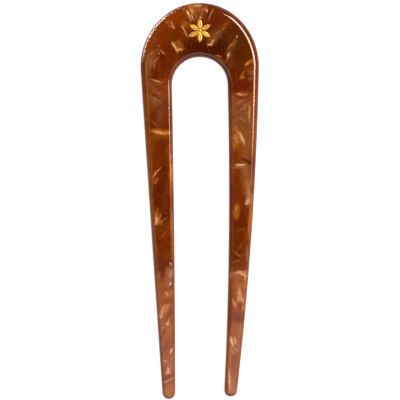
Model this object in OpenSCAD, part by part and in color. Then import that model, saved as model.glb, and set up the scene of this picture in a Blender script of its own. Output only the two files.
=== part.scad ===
// French hair pin: a U cut from one sheet of pearl acetate, with a gilt rosette let into its crown.
// The pin lies on its back. X runs across it, Y from the tips to the crown, Z out of the front face.
// The origin is on the surface that the pin lies on, midway along its length and width.

/* [Sheet] */
// Thickness of the acetate sheet
sheet_t = 4; // [3:0.1:6]
// Radius of the polished edge, front and back
edge_r = 1.5; // [0.5:0.1:1.8]

/* [Crown] */
// Length of the pin, from the top of the crown to the longer tip
pin_l = 130; // [100:1:160]
// Width across the crown, where it is widest
crown_w = 38.9; // [34:0.1:46]
// Drop from the top of the crown to where it is widest
crown_rise = 21; // [16:0.1:28]
// Depth of acetate between the top of the crown and the arch below it
crown_depth = 17.8; // [14:0.1:24]

/* [Legs] */
// Width of the gap between the legs, at the arch
arch_w = 18.2; // [14:0.1:22]
// Width of the gap between the legs, at the tips
tip_gap = 16; // [10:0.1:20]
// Width of a leg at its rounded tip
tip_w = 4.3; // [3:0.1:6]
// How far the left leg bows outwards, half way down
left_bow = -0.1; // [-1:0.05:2]
// How far the right leg bows outwards, half way down
right_bow = 1.1; // [-1:0.05:2]
// How much fuller a leg is half way down than an even taper would make it
leg_belly = 0.3; // [-0.5:0.05:1]
// How much shorter the right leg is than the left one
right_trim = 0.8; // [0:0.1:5]

/* [Rosette] */
// Width of the gilt rosette, from petal tip to petal tip
rosette_w = 7.8; // [5:0.1:9]
// Number of petals
petals = 6; // [5:1:8]
// Width of a petal at its middle
petal_w = 1.5; // [0.8:0.05:1.8]
// Radius of the round boss that the petals spring from
boss_r = 0.8; // [0.5:0.05:1.2]
// How far the rosette sits below the middle of the crown's depth
rosette_drop = 0.4; // [-1:0.1:1]
// Depth of the recess that the rosette is let into
recess_depth = 0.3; // [0.2:0.05:1]
// How far the rosette stands proud of the front face
rosette_proud = 0.1; // [0:0.05:0.4]
// Clearance round the rosette in its recess
recess_gap = 0.03; // [0.02:0.01:0.1]

/* [Hidden] */

// Parts that each stretch of the outline is divided into: half the arch and half the crown alike,
// each edge of a leg, and a tip, whose parts are odd in number
CROWN_PARTS = 24;
LEG_PARTS = 12;
TIP_PARTS = 15;
// Parts that a quarter of the polished edge is divided into
EDGE_PARTS = 6;
// The polished edge takes at most this share of the sheet's thickness and of a tip's width
EDGE_SHARE = 0.45;
// How far a cutter runs past the face that it cuts through
PAST = 1;

edge = min(edge_r, EDGE_SHARE * sheet_t, EDGE_SHARE * tip_w);
arch_r = arch_w / 2;
tip_r = tip_w / 2;
crown_centre = [0, pin_l / 2 - crown_rise];
arch_centre = [0, pin_l / 2 - crown_depth - arch_r];
rosette_centre = [0, pin_l / 2 - crown_depth / 2 - rosette_drop];

// Points are worked out for a leg on the right, and mirrored for the left one.
function tip_centre(trim) = [tip_gap / 2 + tip_r, -pin_l / 2 + trim + tip_r];
function on_circle(r, a) = [r * cos(a), r * sin(a)];

// The crown is half an ellipse, which runs on a little below its widest place to meet the legs.
function on_crown(t) = crown_centre + [crown_w / 2 * cos(t), crown_rise * sin(t)];
function crown_normal(t) = atan2(crown_w / 2 * sin(t), crown_rise * cos(t));
function crown_param(normal) = atan2(crown_rise * sin(normal), crown_w / 2 * cos(normal));

// Lean of a leg's inner edge: the line that crosses between the arch's circle and the tip's
function inner_lean(tip) =
    let (down = arch_centre - tip)
    asin((arch_r + tip_r) / norm(down)) - atan(-down.x / down.y);

// Lean of a leg's outer edge: the line from the tip that touches the crown's ellipse,
// found where the ellipse is squashed to a circle
function outer_lean(tip) =
    let (
        end = tip + [tip_r, 0],
        down = end - crown_centre,
        squashed = [down.x / (crown_w / 2), down.y / crown_rise],
        touch = on_crown(atan2(squashed.y, squashed.x) + acos(1 / norm(squashed)))
    )
    atan((touch.x - end.x) / (touch.y - end.y));

// Samples of the outline are [x, y, angle of the outward normal].
function place(sample) = [sample.x, sample.y];
function arch_sample(a) = [each arch_centre + on_circle(arch_r, a), a + 180];
function tip_sample(tip, a) = [each tip + on_circle(tip_r, a), a];
function crown_sample(t) = [each on_crown(t), crown_normal(t)];
function spread(from, to, parts) = [for (i = [0 : parts]) from + (to - from) * i / parts];
function reversed(list) = [for (i = [len(list) - 1 : -1 : 0]) list[i]];

// Samples between two ends of a leg's edge, bowed outwards by a parabola
function bowed_edge(upper, lower, bow, facing) =
    let (run = lower - upper, across = [-run.y, run.x] / norm(run), lean = atan(run.x / run.y))
    [for (i = [1 : LEG_PARTS - 1])
        let (t = i / LEG_PARTS, turn = end_turn(bow * (2 * t - 1), norm(run)))
        [each upper + run * t + across * 4 * bow * t * (1 - t), facing - lean - turn]];

// Angle that a bowed edge has turned through at its end
function end_turn(bow, length) = atan(4 * bow / length);

// Half of the outline, from the middle of the arch round one leg to the top of the crown.
// Its samples pair off across the leg: the first with the last, the second with the next to last.
function half_outline(bow, trim) =
    let (
        tip = tip_centre(trim),
        inner = inner_lean(tip),
        outer = outer_lean(tip),
        inner_bow = bow - leg_belly / 2,
        outer_bow = bow + leg_belly / 2,
        inner_turn = end_turn(inner_bow, norm(arch_centre - tip)),
        outer_turn = end_turn(outer_bow, norm(crown_centre - tip)),
        tip_start = 180 - inner - inner_turn,
        tip_finish = 360 - outer - outer_turn,
        arch = [for (a = spread(90, inner_turn - inner, CROWN_PARTS)) arch_sample(a)],
        end = [for (a = spread(tip_start, tip_finish, TIP_PARTS)) tip_sample(tip, a)],
        crown = [for (t = spread(crown_param(outer_turn - outer), 90, CROWN_PARTS)) crown_sample(t)],
        down = bowed_edge(place(arch[CROWN_PARTS]), place(end[0]), inner_bow, 180),
        up = bowed_edge(place(crown[0]), place(end[TIP_PARTS]), outer_bow, 0)
    )
    concat(arch, down, end, reversed(up), crown);

// The left half runs back from the crown to the arch, without the two samples that both halves share.
function left_half() =
    let (half = half_outline(left_bow, 0))
    [for (i = [len(half) - 2 : -1 : 1]) [-half[i].x, half[i].y, 180 - half[i].z]];

// Section of the polished edge, from the back face to the front one, as [inset, height]
function edge_section() =
    let (quarter = [for (a = spread(0, 90, EDGE_PARTS)) on_circle(edge, a)])
    concat(
        [for (p = reversed(quarter)) [edge - p.x, edge - p.y]],
        [for (p = quarter) [edge - p.x, sheet_t - edge + p.y]]
    );

// The sheet cut to the outline, with its edge rounded front and back.
// Each flat face is a ladder of four-sided faces, whose rungs cross the crown and the legs.
module rounded_sheet() {
    right = half_outline(right_bow, right_trim);
    path = concat(right, left_half());
    section = edge_section();
    n = len(path);
    crown_top = len(right) - 1;
    rungs = (crown_top - 1) / 2;
    front = (len(section) - 1) * n;
    points = [for (e = section) for (s = path) [each place(s) - on_circle(e.x, s.z), e.y]];
    ladder = [for (i = [-rungs : rungs - 1])
        [for (k = [i, i + 1, crown_top - i - 1, crown_top - i]) (k + n) % n]];
    sides = [for (j = [0 : len(section) - 2]) for (i = [0 : n - 1])
        let (a = j * n + i, b = j * n + (i + 1) % n)
        each [[a, a + n, b + n], [a, b + n, b]]];
    polyhedron(points, concat(ladder, [for (quad = ladder) [for (k = reversed(quad)) front + k]], sides));
}

// Lens that is pointed at both ends, lying along X
module lens(length, width) {
    r = (length * length + width * width) / (4 * width);
    intersection_for (side = [-1, 1])
        translate([0, side * (r - width / 2)]) circle(r, $fn = 200);
}

// Outline of the rosette, grown all round for its recess
module rosette_shape(grow = 0) {
    petal_l = rosette_w / 2 - boss_r / 2;
    circle(boss_r + grow, $fn = 48);
    for (i = [0 : petals - 1])
        rotate(90 + 360 * i / petals)
            translate([rosette_w / 2 - petal_l / 2, 0])
                lens(petal_l + 2 * grow * petal_l / petal_w, petal_w + 2 * grow);
}

module pin_body() {
    color([0.48, 0.21, 0.06])
        difference() {
            rounded_sheet();
            translate([rosette_centre.x, rosette_centre.y, sheet_t - recess_depth])
                linear_extrude(recess_depth + PAST) rosette_shape(recess_gap);
        }
}

module gilt_rosette() {
    color([0.85, 0.62, 0.25])
        translate([rosette_centre.x, rosette_centre.y, sheet_t - recess_depth])
            linear_extrude(recess_depth + rosette_proud) rosette_shape();
}

pin_body();
gilt_rosette();
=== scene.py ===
"""A French hair pin cut from brown pearl acetate, with a small gilt rosette let into its crown."""
import logging
import math
from dataclasses import dataclass
from enum import Enum
from typing import Any

import bpy
from bpy.types import Material, Mesh, Node, NodeSocket, NodeTree, Object
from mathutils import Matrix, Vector


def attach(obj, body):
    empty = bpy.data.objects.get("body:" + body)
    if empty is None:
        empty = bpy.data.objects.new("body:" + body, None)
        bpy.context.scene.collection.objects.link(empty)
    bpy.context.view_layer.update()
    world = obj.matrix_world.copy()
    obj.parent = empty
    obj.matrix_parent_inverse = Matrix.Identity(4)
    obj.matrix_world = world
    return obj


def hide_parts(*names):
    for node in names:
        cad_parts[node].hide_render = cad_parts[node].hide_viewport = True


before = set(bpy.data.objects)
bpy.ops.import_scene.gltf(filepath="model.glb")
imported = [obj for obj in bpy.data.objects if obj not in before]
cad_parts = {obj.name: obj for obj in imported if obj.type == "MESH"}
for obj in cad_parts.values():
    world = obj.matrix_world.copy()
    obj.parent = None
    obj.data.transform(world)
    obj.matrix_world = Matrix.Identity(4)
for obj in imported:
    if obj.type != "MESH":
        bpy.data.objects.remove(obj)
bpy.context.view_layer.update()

MM = 0.001
# An eased range never leaves its bounds, so it needs no clamp. Cycles would put every clamp after
# all other nodes, and the flakes that wait for theirs don't fit on its stack.
SMOOTH = {"interpolation_type": "SMOOTHSTEP", "clamp": False}
# Attributes that steer the shape trees and aren't kept on a finished mesh
STEERING = ("outline", "recess", "place", "edge_width")
# An edge that bends by more than this is a corner, and isn't shaded smooth
CORNER = math.radians(50)
# What can be linked: a socket, or a node, which gives its first output in use
Source = Node | NodeSocket
log = logging.getLogger("hair_pin")


# Helpers


def linear(hex_colour: str) -> tuple[float, float, float, float]:
    """Turns an sRGB hex colour into the linear colour that a shader takes.

    Args:
        hex_colour: Six hex digits after a hash sign.

    Returns:
        Red, green, blue and alpha, the last of them 1.
    """
    shares = [int(hex_colour[i : i + 2], 16) / 255 for i in (1, 3, 5)]
    red, green, blue = [s / 12.92 if s <= 0.04045 else ((s + 0.055) / 1.055) ** 2.4 for s in shares]
    return red, green, blue, 1.0


def add(tree: NodeTree, kind: str, inputs: dict[int | str, Any] | None = None, **settings: Any) -> Node:
    """Adds a node to a tree, with its settings, values and links.

    Args:
        tree: The shader or Geometry Nodes tree.
        kind: The node's type name.
        inputs: What goes into each socket, by its number, or by its name among the sockets in use: a
            value, a socket or node to link, or a list of them for a socket that takes several.
        **settings: The node's own properties, such as its operation.

    Returns:
        The new node.
    """
    node = tree.nodes.new(kind)
    for name, value in settings.items():
        setattr(node, name, value)
    for key, given in (inputs or {}).items():
        named = (s for s in node.inputs if s.enabled and s.name == key)
        taker = node.inputs[key] if isinstance(key, int) else next(named)
        for value in given if isinstance(given, list) else [given]:
            if isinstance(value, Node):
                value = next(s for s in value.outputs if s.enabled)
            if isinstance(value, NodeSocket):
                tree.links.new(value, taker)
            else:
                taker.default_value = value
    return node


def new_material(name: str) -> tuple[Material, NodeTree]:
    """Makes a material with an empty node tree.

    Args:
        name: The name of the real material.

    Returns:
        The material and its tree.
    """
    material = bpy.data.materials.new(name)
    material.use_nodes = True
    material.node_tree.nodes.clear()
    return material, material.node_tree


def new_shape_tree(name: str, sockets: dict[str, str]) -> tuple[NodeTree, Any]:
    """Makes a Geometry Nodes tree with named inputs.

    Args:
        name: The tree's name.
        sockets: The socket type of each input, by the input's name.

    Returns:
        The tree, and the outputs of its Group Input node.
    """
    tree = bpy.data.node_groups.new(name, "GeometryNodeTree")
    tree.interface.new_socket("Geometry", in_out="OUTPUT", socket_type="NodeSocketGeometry")
    tree.interface.new_socket("Geometry", in_out="INPUT", socket_type="NodeSocketGeometry")
    for label, kind in sockets.items():
        tree.interface.new_socket(label, in_out="INPUT", socket_type="NodeSocket" + kind)
    return tree, add(tree, "NodeGroupInput").outputs


def end_shape_tree(tree: NodeTree, shape: Source, finish: Source) -> None:
    """Ends a Geometry Nodes tree with real geometry, smooth but for its corners, in its finish.

    Args:
        tree: The tree.
        shape: The finished shape.
        finish: The material.
    """
    smooth = add(tree, "GeometryNodeSetShadeSmooth", {0: shape})
    bend = add(tree, "GeometryNodeInputMeshEdgeAngle")
    is_corner = add(tree, "FunctionNodeCompare", {"A": bend, "B": CORNER}, operation="GREATER_THAN")
    crisp = add(tree, "GeometryNodeSetShadeSmooth", {
        0: smooth, "Selection": is_corner, "Shade Smooth": False}, domain="EDGE")
    real = add(tree, "GeometryNodeRealizeInstances", {0: crisp})
    dressed = add(tree, "GeometryNodeSetMaterial", {0: real, "Material": finish})
    add(tree, "NodeGroupOutput", {0: dressed})


def new_object(name: str, mesh: Mesh) -> Object:
    """Puts a mesh into the scene as an object at the origin."""
    made = bpy.data.objects.new(name, mesh)
    bpy.context.scene.collection.objects.link(made)
    return made


def grown(name: str, base: Mesh, tree: NodeTree, values: dict[str, Any]) -> Object:
    """Runs a Geometry Nodes tree on a mesh and keeps the result as a plain mesh.

    Args:
        name: The name of the finished piece.
        base: The mesh that the tree starts from.
        tree: The Geometry Nodes tree.
        values: What each of the tree's named inputs is set to.

    Returns:
        The piece, with no modifier left on it.
    """
    piece = new_object(name, base)
    modifier = piece.modifiers.new("shape", "NODES")
    modifier.node_group = tree
    keys = {item.name: item.identifier for item in tree.interface.items_tree if item.in_out == "INPUT"}
    for label, value in values.items():
        modifier[keys[label]] = value
    graph = bpy.context.evaluated_depsgraph_get()
    mesh = bpy.data.meshes.new_from_object(piece.evaluated_get(graph), depsgraph=graph)
    piece.modifiers.remove(modifier)
    piece.data = mesh
    mesh.name = name
    mesh.materials.clear()
    mesh.materials.append(values["Finish"])
    mesh.polygons.foreach_set("material_index", [0] * len(mesh.polygons))
    for label in [a.name for a in base.attributes if a.name in STEERING and a.name in mesh.attributes]:
        mesh.attributes.remove(mesh.attributes[label])
    bpy.data.meshes.remove(base)
    return piece


def eased(value: float, start: float, end: float) -> float:
    """Returns how far a value is from start to end, from 0 to 1, gently at both ends."""
    share = min(max((value - start) / (end - start), 0.0), 1.0)
    return share * share * (3 - 2 * share)


def spread(start: float, end: float, parts: int) -> list[float]:
    """Returns numbers evenly spaced from start to end, both included."""
    return [start + (end - start) * i / parts for i in range(parts + 1)]


def on_ellipse(angle: float, half_width: float, half_height: float) -> Vector:
    """Returns the point at an angle, in radians, on an ellipse about the origin."""
    return Vector((half_width * math.cos(angle), half_height * math.sin(angle)))


# Shapes


@dataclass(frozen=True)
class PinOutline:
    """The pin's outline, in millimetres, by the same rule as the solid's.

    Half an ellipse is the crown, half a circle the arch below it, and a small circle each tip.
    Each edge of a leg is a slightly bowed line that touches both of the curves it joins.
    """

    length: float = 130.0
    crown_width: float = 38.9
    crown_rise: float = 21.0
    crown_depth: float = 17.8
    arch_width: float = 18.2
    tip_gap: float = 16.0
    tip_width: float = 4.3
    left_bow: float = -0.1
    right_bow: float = 1.1
    leg_belly: float = 0.3
    right_trim: float = 0.8
    crown_parts: int = 90
    leg_parts: int = 130
    tip_parts: int = 22

    def arch_middle(self) -> Vector:
        """Returns the middle of the arch's circle."""
        return Vector((0, self.length / 2 - self.crown_depth - self.arch_width / 2))

    def bowed(self, upper: Vector, lower: Vector, bow: float) -> list[Vector]:
        """Returns the points between two ends of a leg's edge, bowed outwards by a parabola.

        Args:
            upper: The end at the crown or the arch.
            lower: The end at the tip.
            bow: How far the edge stands out half way down.

        Returns:
            The points, without the two ends.
        """
        run = lower - upper
        across = Vector((-run.y, run.x)).normalized()
        shares = spread(0, 1, self.leg_parts)[1:-1]
        return [upper + run * t + across * (4 * bow * t * (1 - t)) for t in shares]

    def half(self, bow: float, trim: float) -> list[Vector]:
        """Returns the right half of the outline, from the middle of the arch to the top of the crown.

        Args:
            bow: How far the leg bows outwards.
            trim: How much the leg is shortened.

        Returns:
            The points of the half.
        """
        arch_r, tip_r, crown_r = self.arch_width / 2, self.tip_width / 2, self.crown_width / 2
        arch = self.arch_middle()
        crown = Vector((0, self.length / 2 - self.crown_rise))
        tip = Vector((self.tip_gap / 2 + tip_r, -self.length / 2 + trim + tip_r))

        # The straight lines that touch both curves, as their lean from upright
        down = arch - tip
        inner_lean = math.asin((arch_r + tip_r) / down.length) - math.atan(-down.x / down.y)
        end = tip + Vector((tip_r, 0))
        squashed = Vector(((end.x - crown.x) / crown_r, (end.y - crown.y) / self.crown_rise))
        touching = math.atan2(squashed.y, squashed.x) + math.acos(1 / squashed.length)
        touch = crown + on_ellipse(touching, crown_r, self.crown_rise)
        outer_lean = math.atan((touch.x - end.x) / (touch.y - end.y))

        # The bow turns each line a little at both of its ends
        inner_bow, outer_bow = bow - self.leg_belly / 2, bow + self.leg_belly / 2
        inner_turn = math.atan(4 * inner_bow / down.length)
        outer_turn = math.atan(4 * outer_bow / (crown - tip).length)
        normal = outer_turn - outer_lean
        start = math.atan2(self.crown_rise * math.sin(normal), crown_r * math.cos(normal))

        right = spread(math.pi / 2, inner_turn - inner_lean, self.crown_parts)
        under = spread(math.pi - inner_lean - inner_turn, 2 * math.pi - outer_lean - outer_turn, self.tip_parts)
        over = spread(start, math.pi / 2, self.crown_parts)
        arch_side = [arch + on_ellipse(a, arch_r, arch_r) for a in right]
        tip_side = [tip + on_ellipse(a, tip_r, tip_r) for a in under]
        crown_side = [crown + on_ellipse(a, crown_r, self.crown_rise) for a in over]
        inner = self.bowed(arch_side[-1], tip_side[0], inner_bow)
        outer = self.bowed(crown_side[0], tip_side[-1], outer_bow)
        return arch_side + inner + tip_side + outer[::-1] + crown_side

    def loop(self) -> list[Vector]:
        """Returns the whole outline, counter-clockwise, without a repeated point."""
        right = self.half(self.right_bow, self.right_trim)
        left = [Vector((-p.x, p.y)) for p in self.half(self.left_bow, 0)[-2:0:-1]]
        return right + left


@dataclass(frozen=True)
class RosetteOutline:
    """The rosette's plan, in millimetres: lens-shaped petals that spring from a round boss."""

    width: float = 7.8
    petals: int = 6
    petal_width: float = 1.5
    boss_radius: float = 0.8
    middle_y: float = 55.7
    petal_parts: int = 28
    boss_parts: int = 8

    def petal_length(self, grow: float = 0.0) -> float:
        """Returns a petal's length, from inside the boss to its tip, grown all round by so much."""
        return (self.width / 2 - self.boss_radius / 2) * (1 + 2 * grow / self.petal_width)

    def half_width(self, along: float, grow: float = 0.0) -> float:
        """Returns half of a petal's width at a share of its length.

        Args:
            along: 0 at the inner end and 1 at the tip.
            grow: How much the petal is grown all round.

        Returns:
            The half width in millimetres.
        """
        long = self.petal_length(grow)
        wide = self.petal_width + 2 * grow
        bend = (long * long + wide * wide) / (4 * wide)
        off = (along - 0.5) * long
        return max(math.sqrt(bend * bend - off * off) - bend + wide / 2, 0.0)

    def loop(self, grow: float) -> list[Vector]:
        """Returns the outline of petals and boss together, counter-clockwise.

        Args:
            grow: How much the rosette is grown all round, as for its recess.

        Returns:
            The points, about the rosette's own middle.
        """
        long = self.petal_length(grow)
        middle = self.width / 2 - self.petal_length() / 2
        boss = self.boss_radius + grow
        shares = spread(0, 1, self.petal_parts)
        side = [Vector((middle + (s - 0.5) * long, self.half_width(s, grow))) for s in shares]
        side = [p for p in side if p.length > boss]
        reach = math.atan2(side[0].y, side[0].x)
        step = 2 * math.pi / self.petals
        petal = [Vector((p.x, -p.y)) for p in side] + side[-2::-1]
        petal += [on_ellipse(a, boss, boss) for a in spread(reach, step - reach, self.boss_parts)[1:-1]]
        loop: list[Vector] = []
        for i in range(self.petals):
            ahead = on_ellipse(math.pi / 2 + step * i, 1.0, 1.0)
            loop += [Vector((p.x * ahead.x - p.y * ahead.y, p.x * ahead.y + p.y * ahead.x)) for p in petal]
        return loop


def ring_mesh(name: str, rings: dict[str, list[Vector]], widths: list[float]) -> Mesh:
    """Makes a mesh of closed rings of edges, each marked by a Boolean attribute of its own name.

    Args:
        name: The mesh's name.
        rings: The points of each ring, in metres, by the name of its attribute.
        widths: How wide the edge is rounded at each point of the first ring, in metres.

    Returns:
        The mesh, whose points also keep their own place and that width.
    """
    points: list[tuple[float, float, float]] = []
    edges: list[tuple[int, int]] = []
    spans: dict[str, tuple[int, int]] = {}
    for label, ring in rings.items():
        first = len(points)
        points += [(p.x, p.y, 0.0) for p in ring]
        edges += [(first + i, first + (i + 1) % len(ring)) for i in range(len(ring))]
        spans[label] = (first, len(points))
    mesh = bpy.data.meshes.new(name)
    mesh.from_pydata(points, edges, [])
    for label, (first, end) in spans.items():
        marks = mesh.attributes.new(label, "BOOLEAN", "POINT")
        marks.data.foreach_set("value", [first <= i < end for i in range(len(points))])
    places = mesh.attributes.new("place", "FLOAT_VECTOR", "POINT")
    places.data.foreach_set("vector", [c for p in points for c in p])
    wide = mesh.attributes.new("edge_width", "FLOAT", "POINT")
    wide.data.foreach_set("value", widths + [widths[-1]] * (len(points) - len(widths)))
    return mesh


@dataclass(frozen=True)
class PinBody:
    """The pin itself: the sheet swept along its outline, with its edge polished round front and back.

    The polishing rounds the outer edge of the crown most, and the tips least. All sizes are in
    millimetres, but the polish's loss is a share of the outline's size. Each of the last five pairs
    says where one width of the edge turns into the next: by the distance from the pin's middle line,
    by the height on it, or by the distance from the arch's middle.
    """

    outline: PinOutline
    recess: RosetteOutline
    thickness: float = 4.0
    edge_radius: float = 1.5
    crown_edge: float = 2.6
    arch_edge: float = 1.5
    leg_edge: float = 2.15
    left_gap_edge: float = 1.55
    right_gap_edge: float = 1.85
    tip_edge: float = 1.45
    edge_parts: int = 15
    flat_margin: float = 0.08
    polish_loss: float = 0.0003
    recess_depth: float = 0.3
    recess_gap: float = 0.03
    weld_distance: float = 0.002
    gap_to_leg_across: tuple[float, float] = (9.8, 12.0)
    tip_to_leg_height: tuple[float, float] = (-15.0, 28.0)
    leg_to_crown_height: tuple[float, float] = (18.0, 48.0)
    leg_to_arch_height: tuple[float, float] = (38.0, 46.0)
    arch_to_outer_reach: tuple[float, float] = (12.0, 18.0)

    def edge_width(self, place: Vector) -> float:
        """Returns how wide the edge is rounded at a point of the outline, all in millimetres."""
        gap = self.left_gap_edge if place.x < 0.0 else self.right_gap_edge
        side = gap + (self.leg_edge - gap) * eased(abs(place.x), *self.gap_to_leg_across)
        leg = self.tip_edge + (side - self.tip_edge) * eased(place.y, *self.tip_to_leg_height)
        outer = eased((place - self.outline.arch_middle()).length, *self.arch_to_outer_reach)
        crown = (self.crown_edge - leg) * eased(place.y, *self.leg_to_crown_height) * outer
        arch = (self.arch_edge - leg) * eased(place.y, *self.leg_to_arch_height) * (1 - outer)
        return leg + crown + arch

    def section(self, tree: NodeTree, given: Any) -> Node:
        """Adds the nodes for the edge's section: four corners, of which the middle two are rounded.

        Args:
            tree: The Geometry Nodes tree.
            given: The tree's named inputs.

        Returns:
            A node that gives the section as a curve, its upper end first.
        """
        count = 4
        number = add(tree, "GeometryNodeInputIndex")
        off_middle = add(tree, "ShaderNodeMath", {0: number, 1: (count - 1) / 2}, operation="SUBTRACT")
        away = add(tree, "ShaderNodeMath", {0: off_middle}, operation="ABSOLUTE")
        is_end = add(tree, "FunctionNodeCompare", {"A": away, "B": 1.0}, operation="GREATER_THAN")
        is_upper = add(tree, "FunctionNodeCompare", {"A": off_middle, "B": 0.0}, operation="LESS_THAN")
        inset = add(tree, "ShaderNodeMath", {0: given["Edge Radius"], 1: given["Flat Margin"]}, operation="ADD")
        inward = add(tree, "ShaderNodeMath", {0: inset, 1: -1.0}, operation="MULTIPLY")
        upward = add(tree, "ShaderNodeMath", {0: given["Thickness"], 1: -1.0}, operation="MULTIPLY")
        across = add(tree, "ShaderNodeMath", {0: is_end, 1: inward}, operation="MULTIPLY")
        height = add(tree, "ShaderNodeMath", {0: is_upper, 1: upward}, operation="MULTIPLY")
        place = add(tree, "ShaderNodeCombineXYZ", {0: across, 1: height})
        corners = add(tree, "GeometryNodeMeshLine", {"Count": count})
        placed = add(tree, "GeometryNodeSetPosition", {0: corners, "Position": place})
        line = add(tree, "GeometryNodeMeshToCurve", {0: placed})
        return add(tree, "GeometryNodeFilletCurve", {
            0: line, "Count": given["Edge Parts"], "Radius": given["Edge Radius"]}, mode="POLY")

    def edge(self, tree: NodeTree, given: Any, outline: Source) -> Node:
        """Adds the nodes that sweep the section round the outline, each place as wide as it is marked.

        Args:
            tree: The Geometry Nodes tree.
            given: The tree's named inputs.
            outline: The outline's ring of edges.

        Returns:
            A node that gives the edge, open at both faces.
        """
        section = self.section(tree, given)
        path = add(tree, "GeometryNodeMeshToCurve", {0: outline})
        level = add(tree, "GeometryNodeSetCurveNormal", {0: path}, mode="Z_UP")
        swept = add(tree, "GeometryNodeCurveToMesh", {0: level, "Profile Curve": section})
        wide = add(tree, "GeometryNodeInputNamedAttribute", {"Name": "edge_width"}, data_type="FLOAT")
        outermost = add(tree, "GeometryNodeInputNamedAttribute", {"Name": "place"}, data_type="FLOAT_VECTOR")
        widen = add(tree, "ShaderNodeMath", {0: wide, 1: given["Edge Radius"]}, operation="DIVIDE")
        more = add(tree, "ShaderNodeMath", {0: widen, 1: 1.0}, operation="SUBTRACT")
        where = add(tree, "GeometryNodeInputPosition")
        inwards = add(tree, "ShaderNodeVectorMath", {0: where, 1: outermost}, operation="SUBTRACT")
        flat = add(tree, "ShaderNodeVectorMath", {0: inwards, 1: (1.0, 1.0, 0.0)}, operation="MULTIPLY")
        further = add(tree, "ShaderNodeVectorMath", {0: flat, "Scale": more}, operation="SCALE")
        return add(tree, "GeometryNodeSetPosition", {0: swept, "Offset": further})

    def front_rim(self, tree: NodeTree, given: Any, edge: Source) -> Node:
        """Adds the nodes that find the ring of edges that bounds the front face.

        Args:
            tree: The Geometry Nodes tree.
            given: The tree's named inputs.
            edge: The swept edge.

        Returns:
            A node that gives the ring as a curve.
        """
        faces = add(tree, "GeometryNodeInputMeshEdgeNeighbors")
        is_rim = add(tree, "FunctionNodeCompare", {"A": faces, "B": 1}, operation="EQUAL", data_type="INT")
        where = add(tree, "ShaderNodeSeparateXYZ", {0: add(tree, "GeometryNodeInputPosition")})
        half = add(tree, "ShaderNodeMath", {0: given["Thickness"], 1: 0.5}, operation="MULTIPLY")
        is_front = add(tree, "FunctionNodeCompare", {"A": where.outputs["Z"], "B": half}, operation="GREATER_THAN")
        both = add(tree, "FunctionNodeBooleanMath", {0: is_rim, 1: is_front}, operation="AND")
        return add(tree, "GeometryNodeMeshToCurve", {0: edge, "Selection": both})

    def pocket(self, tree: NodeTree, given: Any, hole: Source, to_front: Source) -> list[Node]:
        """Adds the nodes for the recess's wall and floor.

        Args:
            tree: The Geometry Nodes tree.
            given: The tree's named inputs.
            hole: The recess's outline as a curve.
            to_front: The way from the back face to the front face.

        Returns:
            The nodes that give the wall and the floor.
        """
        deep = given["Recess Depth"]
        # The wall faces inwards, so the line swept round it runs upwards
        foot = add(tree, "ShaderNodeCombineXYZ", {1: deep})
        rise = add(tree, "ShaderNodeMath", {0: deep, 1: -1.0}, operation="MULTIPLY")
        climb = add(tree, "ShaderNodeCombineXYZ", {1: rise})
        line = add(tree, "GeometryNodeMeshLine", {"Count": 2, "Start Location": foot, "Offset": climb})
        upright = add(tree, "GeometryNodeSetCurveNormal", {0: hole}, mode="Z_UP")
        profile = add(tree, "GeometryNodeMeshToCurve", {0: line})
        wall = add(tree, "GeometryNodeCurveToMesh", {0: upright, "Profile Curve": profile})
        floor_z = add(tree, "ShaderNodeMath", {0: given["Thickness"], 1: deep}, operation="SUBTRACT")
        to_floor = add(tree, "ShaderNodeCombineXYZ", {2: floor_z})
        floor = add(tree, "GeometryNodeFillCurve", {0: hole})
        return [
            add(tree, "GeometryNodeTransform", {0: wall, "Translation": to_front}),
            add(tree, "GeometryNodeTransform", {0: floor, "Translation": to_floor}),
        ]

    def tree(self) -> NodeTree:
        """Builds the tree that sweeps the rounded edge round the outline and closes both faces.

        Returns:
            The Geometry Nodes tree.
        """
        sizes = {
            "Thickness": "Float",
            "Edge Radius": "Float",
            "Edge Parts": "Int",
            "Flat Margin": "Float",
            "Recess Depth": "Float",
            "Weld Distance": "Float",
            "Finish": "Material",
        }
        tree, given = new_shape_tree("rounded_sheet", sizes)
        marks = add(tree, "GeometryNodeInputNamedAttribute", {"Name": "recess"}, data_type="BOOLEAN")
        split = add(tree, "GeometryNodeSeparateGeometry", {0: given[0], "Selection": marks})
        edge = self.edge(tree, given, split.outputs["Inverted"])
        rim = self.front_rim(tree, given, edge)

        # Both flat faces, the front one with the recess cut out of it
        hole = add(tree, "GeometryNodeMeshToCurve", {0: split.outputs["Selection"]})
        bounds = add(tree, "GeometryNodeJoinGeometry", {0: [rim, hole]})
        pierced = add(tree, "GeometryNodeFillCurve", {0: bounds})
        to_front = add(tree, "ShaderNodeCombineXYZ", {2: given["Thickness"]})
        front = add(tree, "GeometryNodeTransform", {0: pierced, "Translation": to_front})
        whole = add(tree, "GeometryNodeFillCurve", {0: rim})
        back = add(tree, "GeometryNodeFlipFaces", {0: whole})

        pocket = self.pocket(tree, given, hole, to_front)
        joined = add(tree, "GeometryNodeJoinGeometry", {0: [edge, front, back, *pocket]})
        welded = add(tree, "GeometryNodeMergeByDistance", {0: joined, "Distance": given["Weld Distance"]})
        end_shape_tree(tree, welded, given["Finish"])
        return tree

    def build(self, finish: Material) -> Object:
        """Builds the body and dresses it.

        Args:
            finish: The acetate.

        Returns:
            The piece.
        """
        middle = Vector((0, self.recess.middle_y))
        loop = self.outline.loop()
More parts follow.
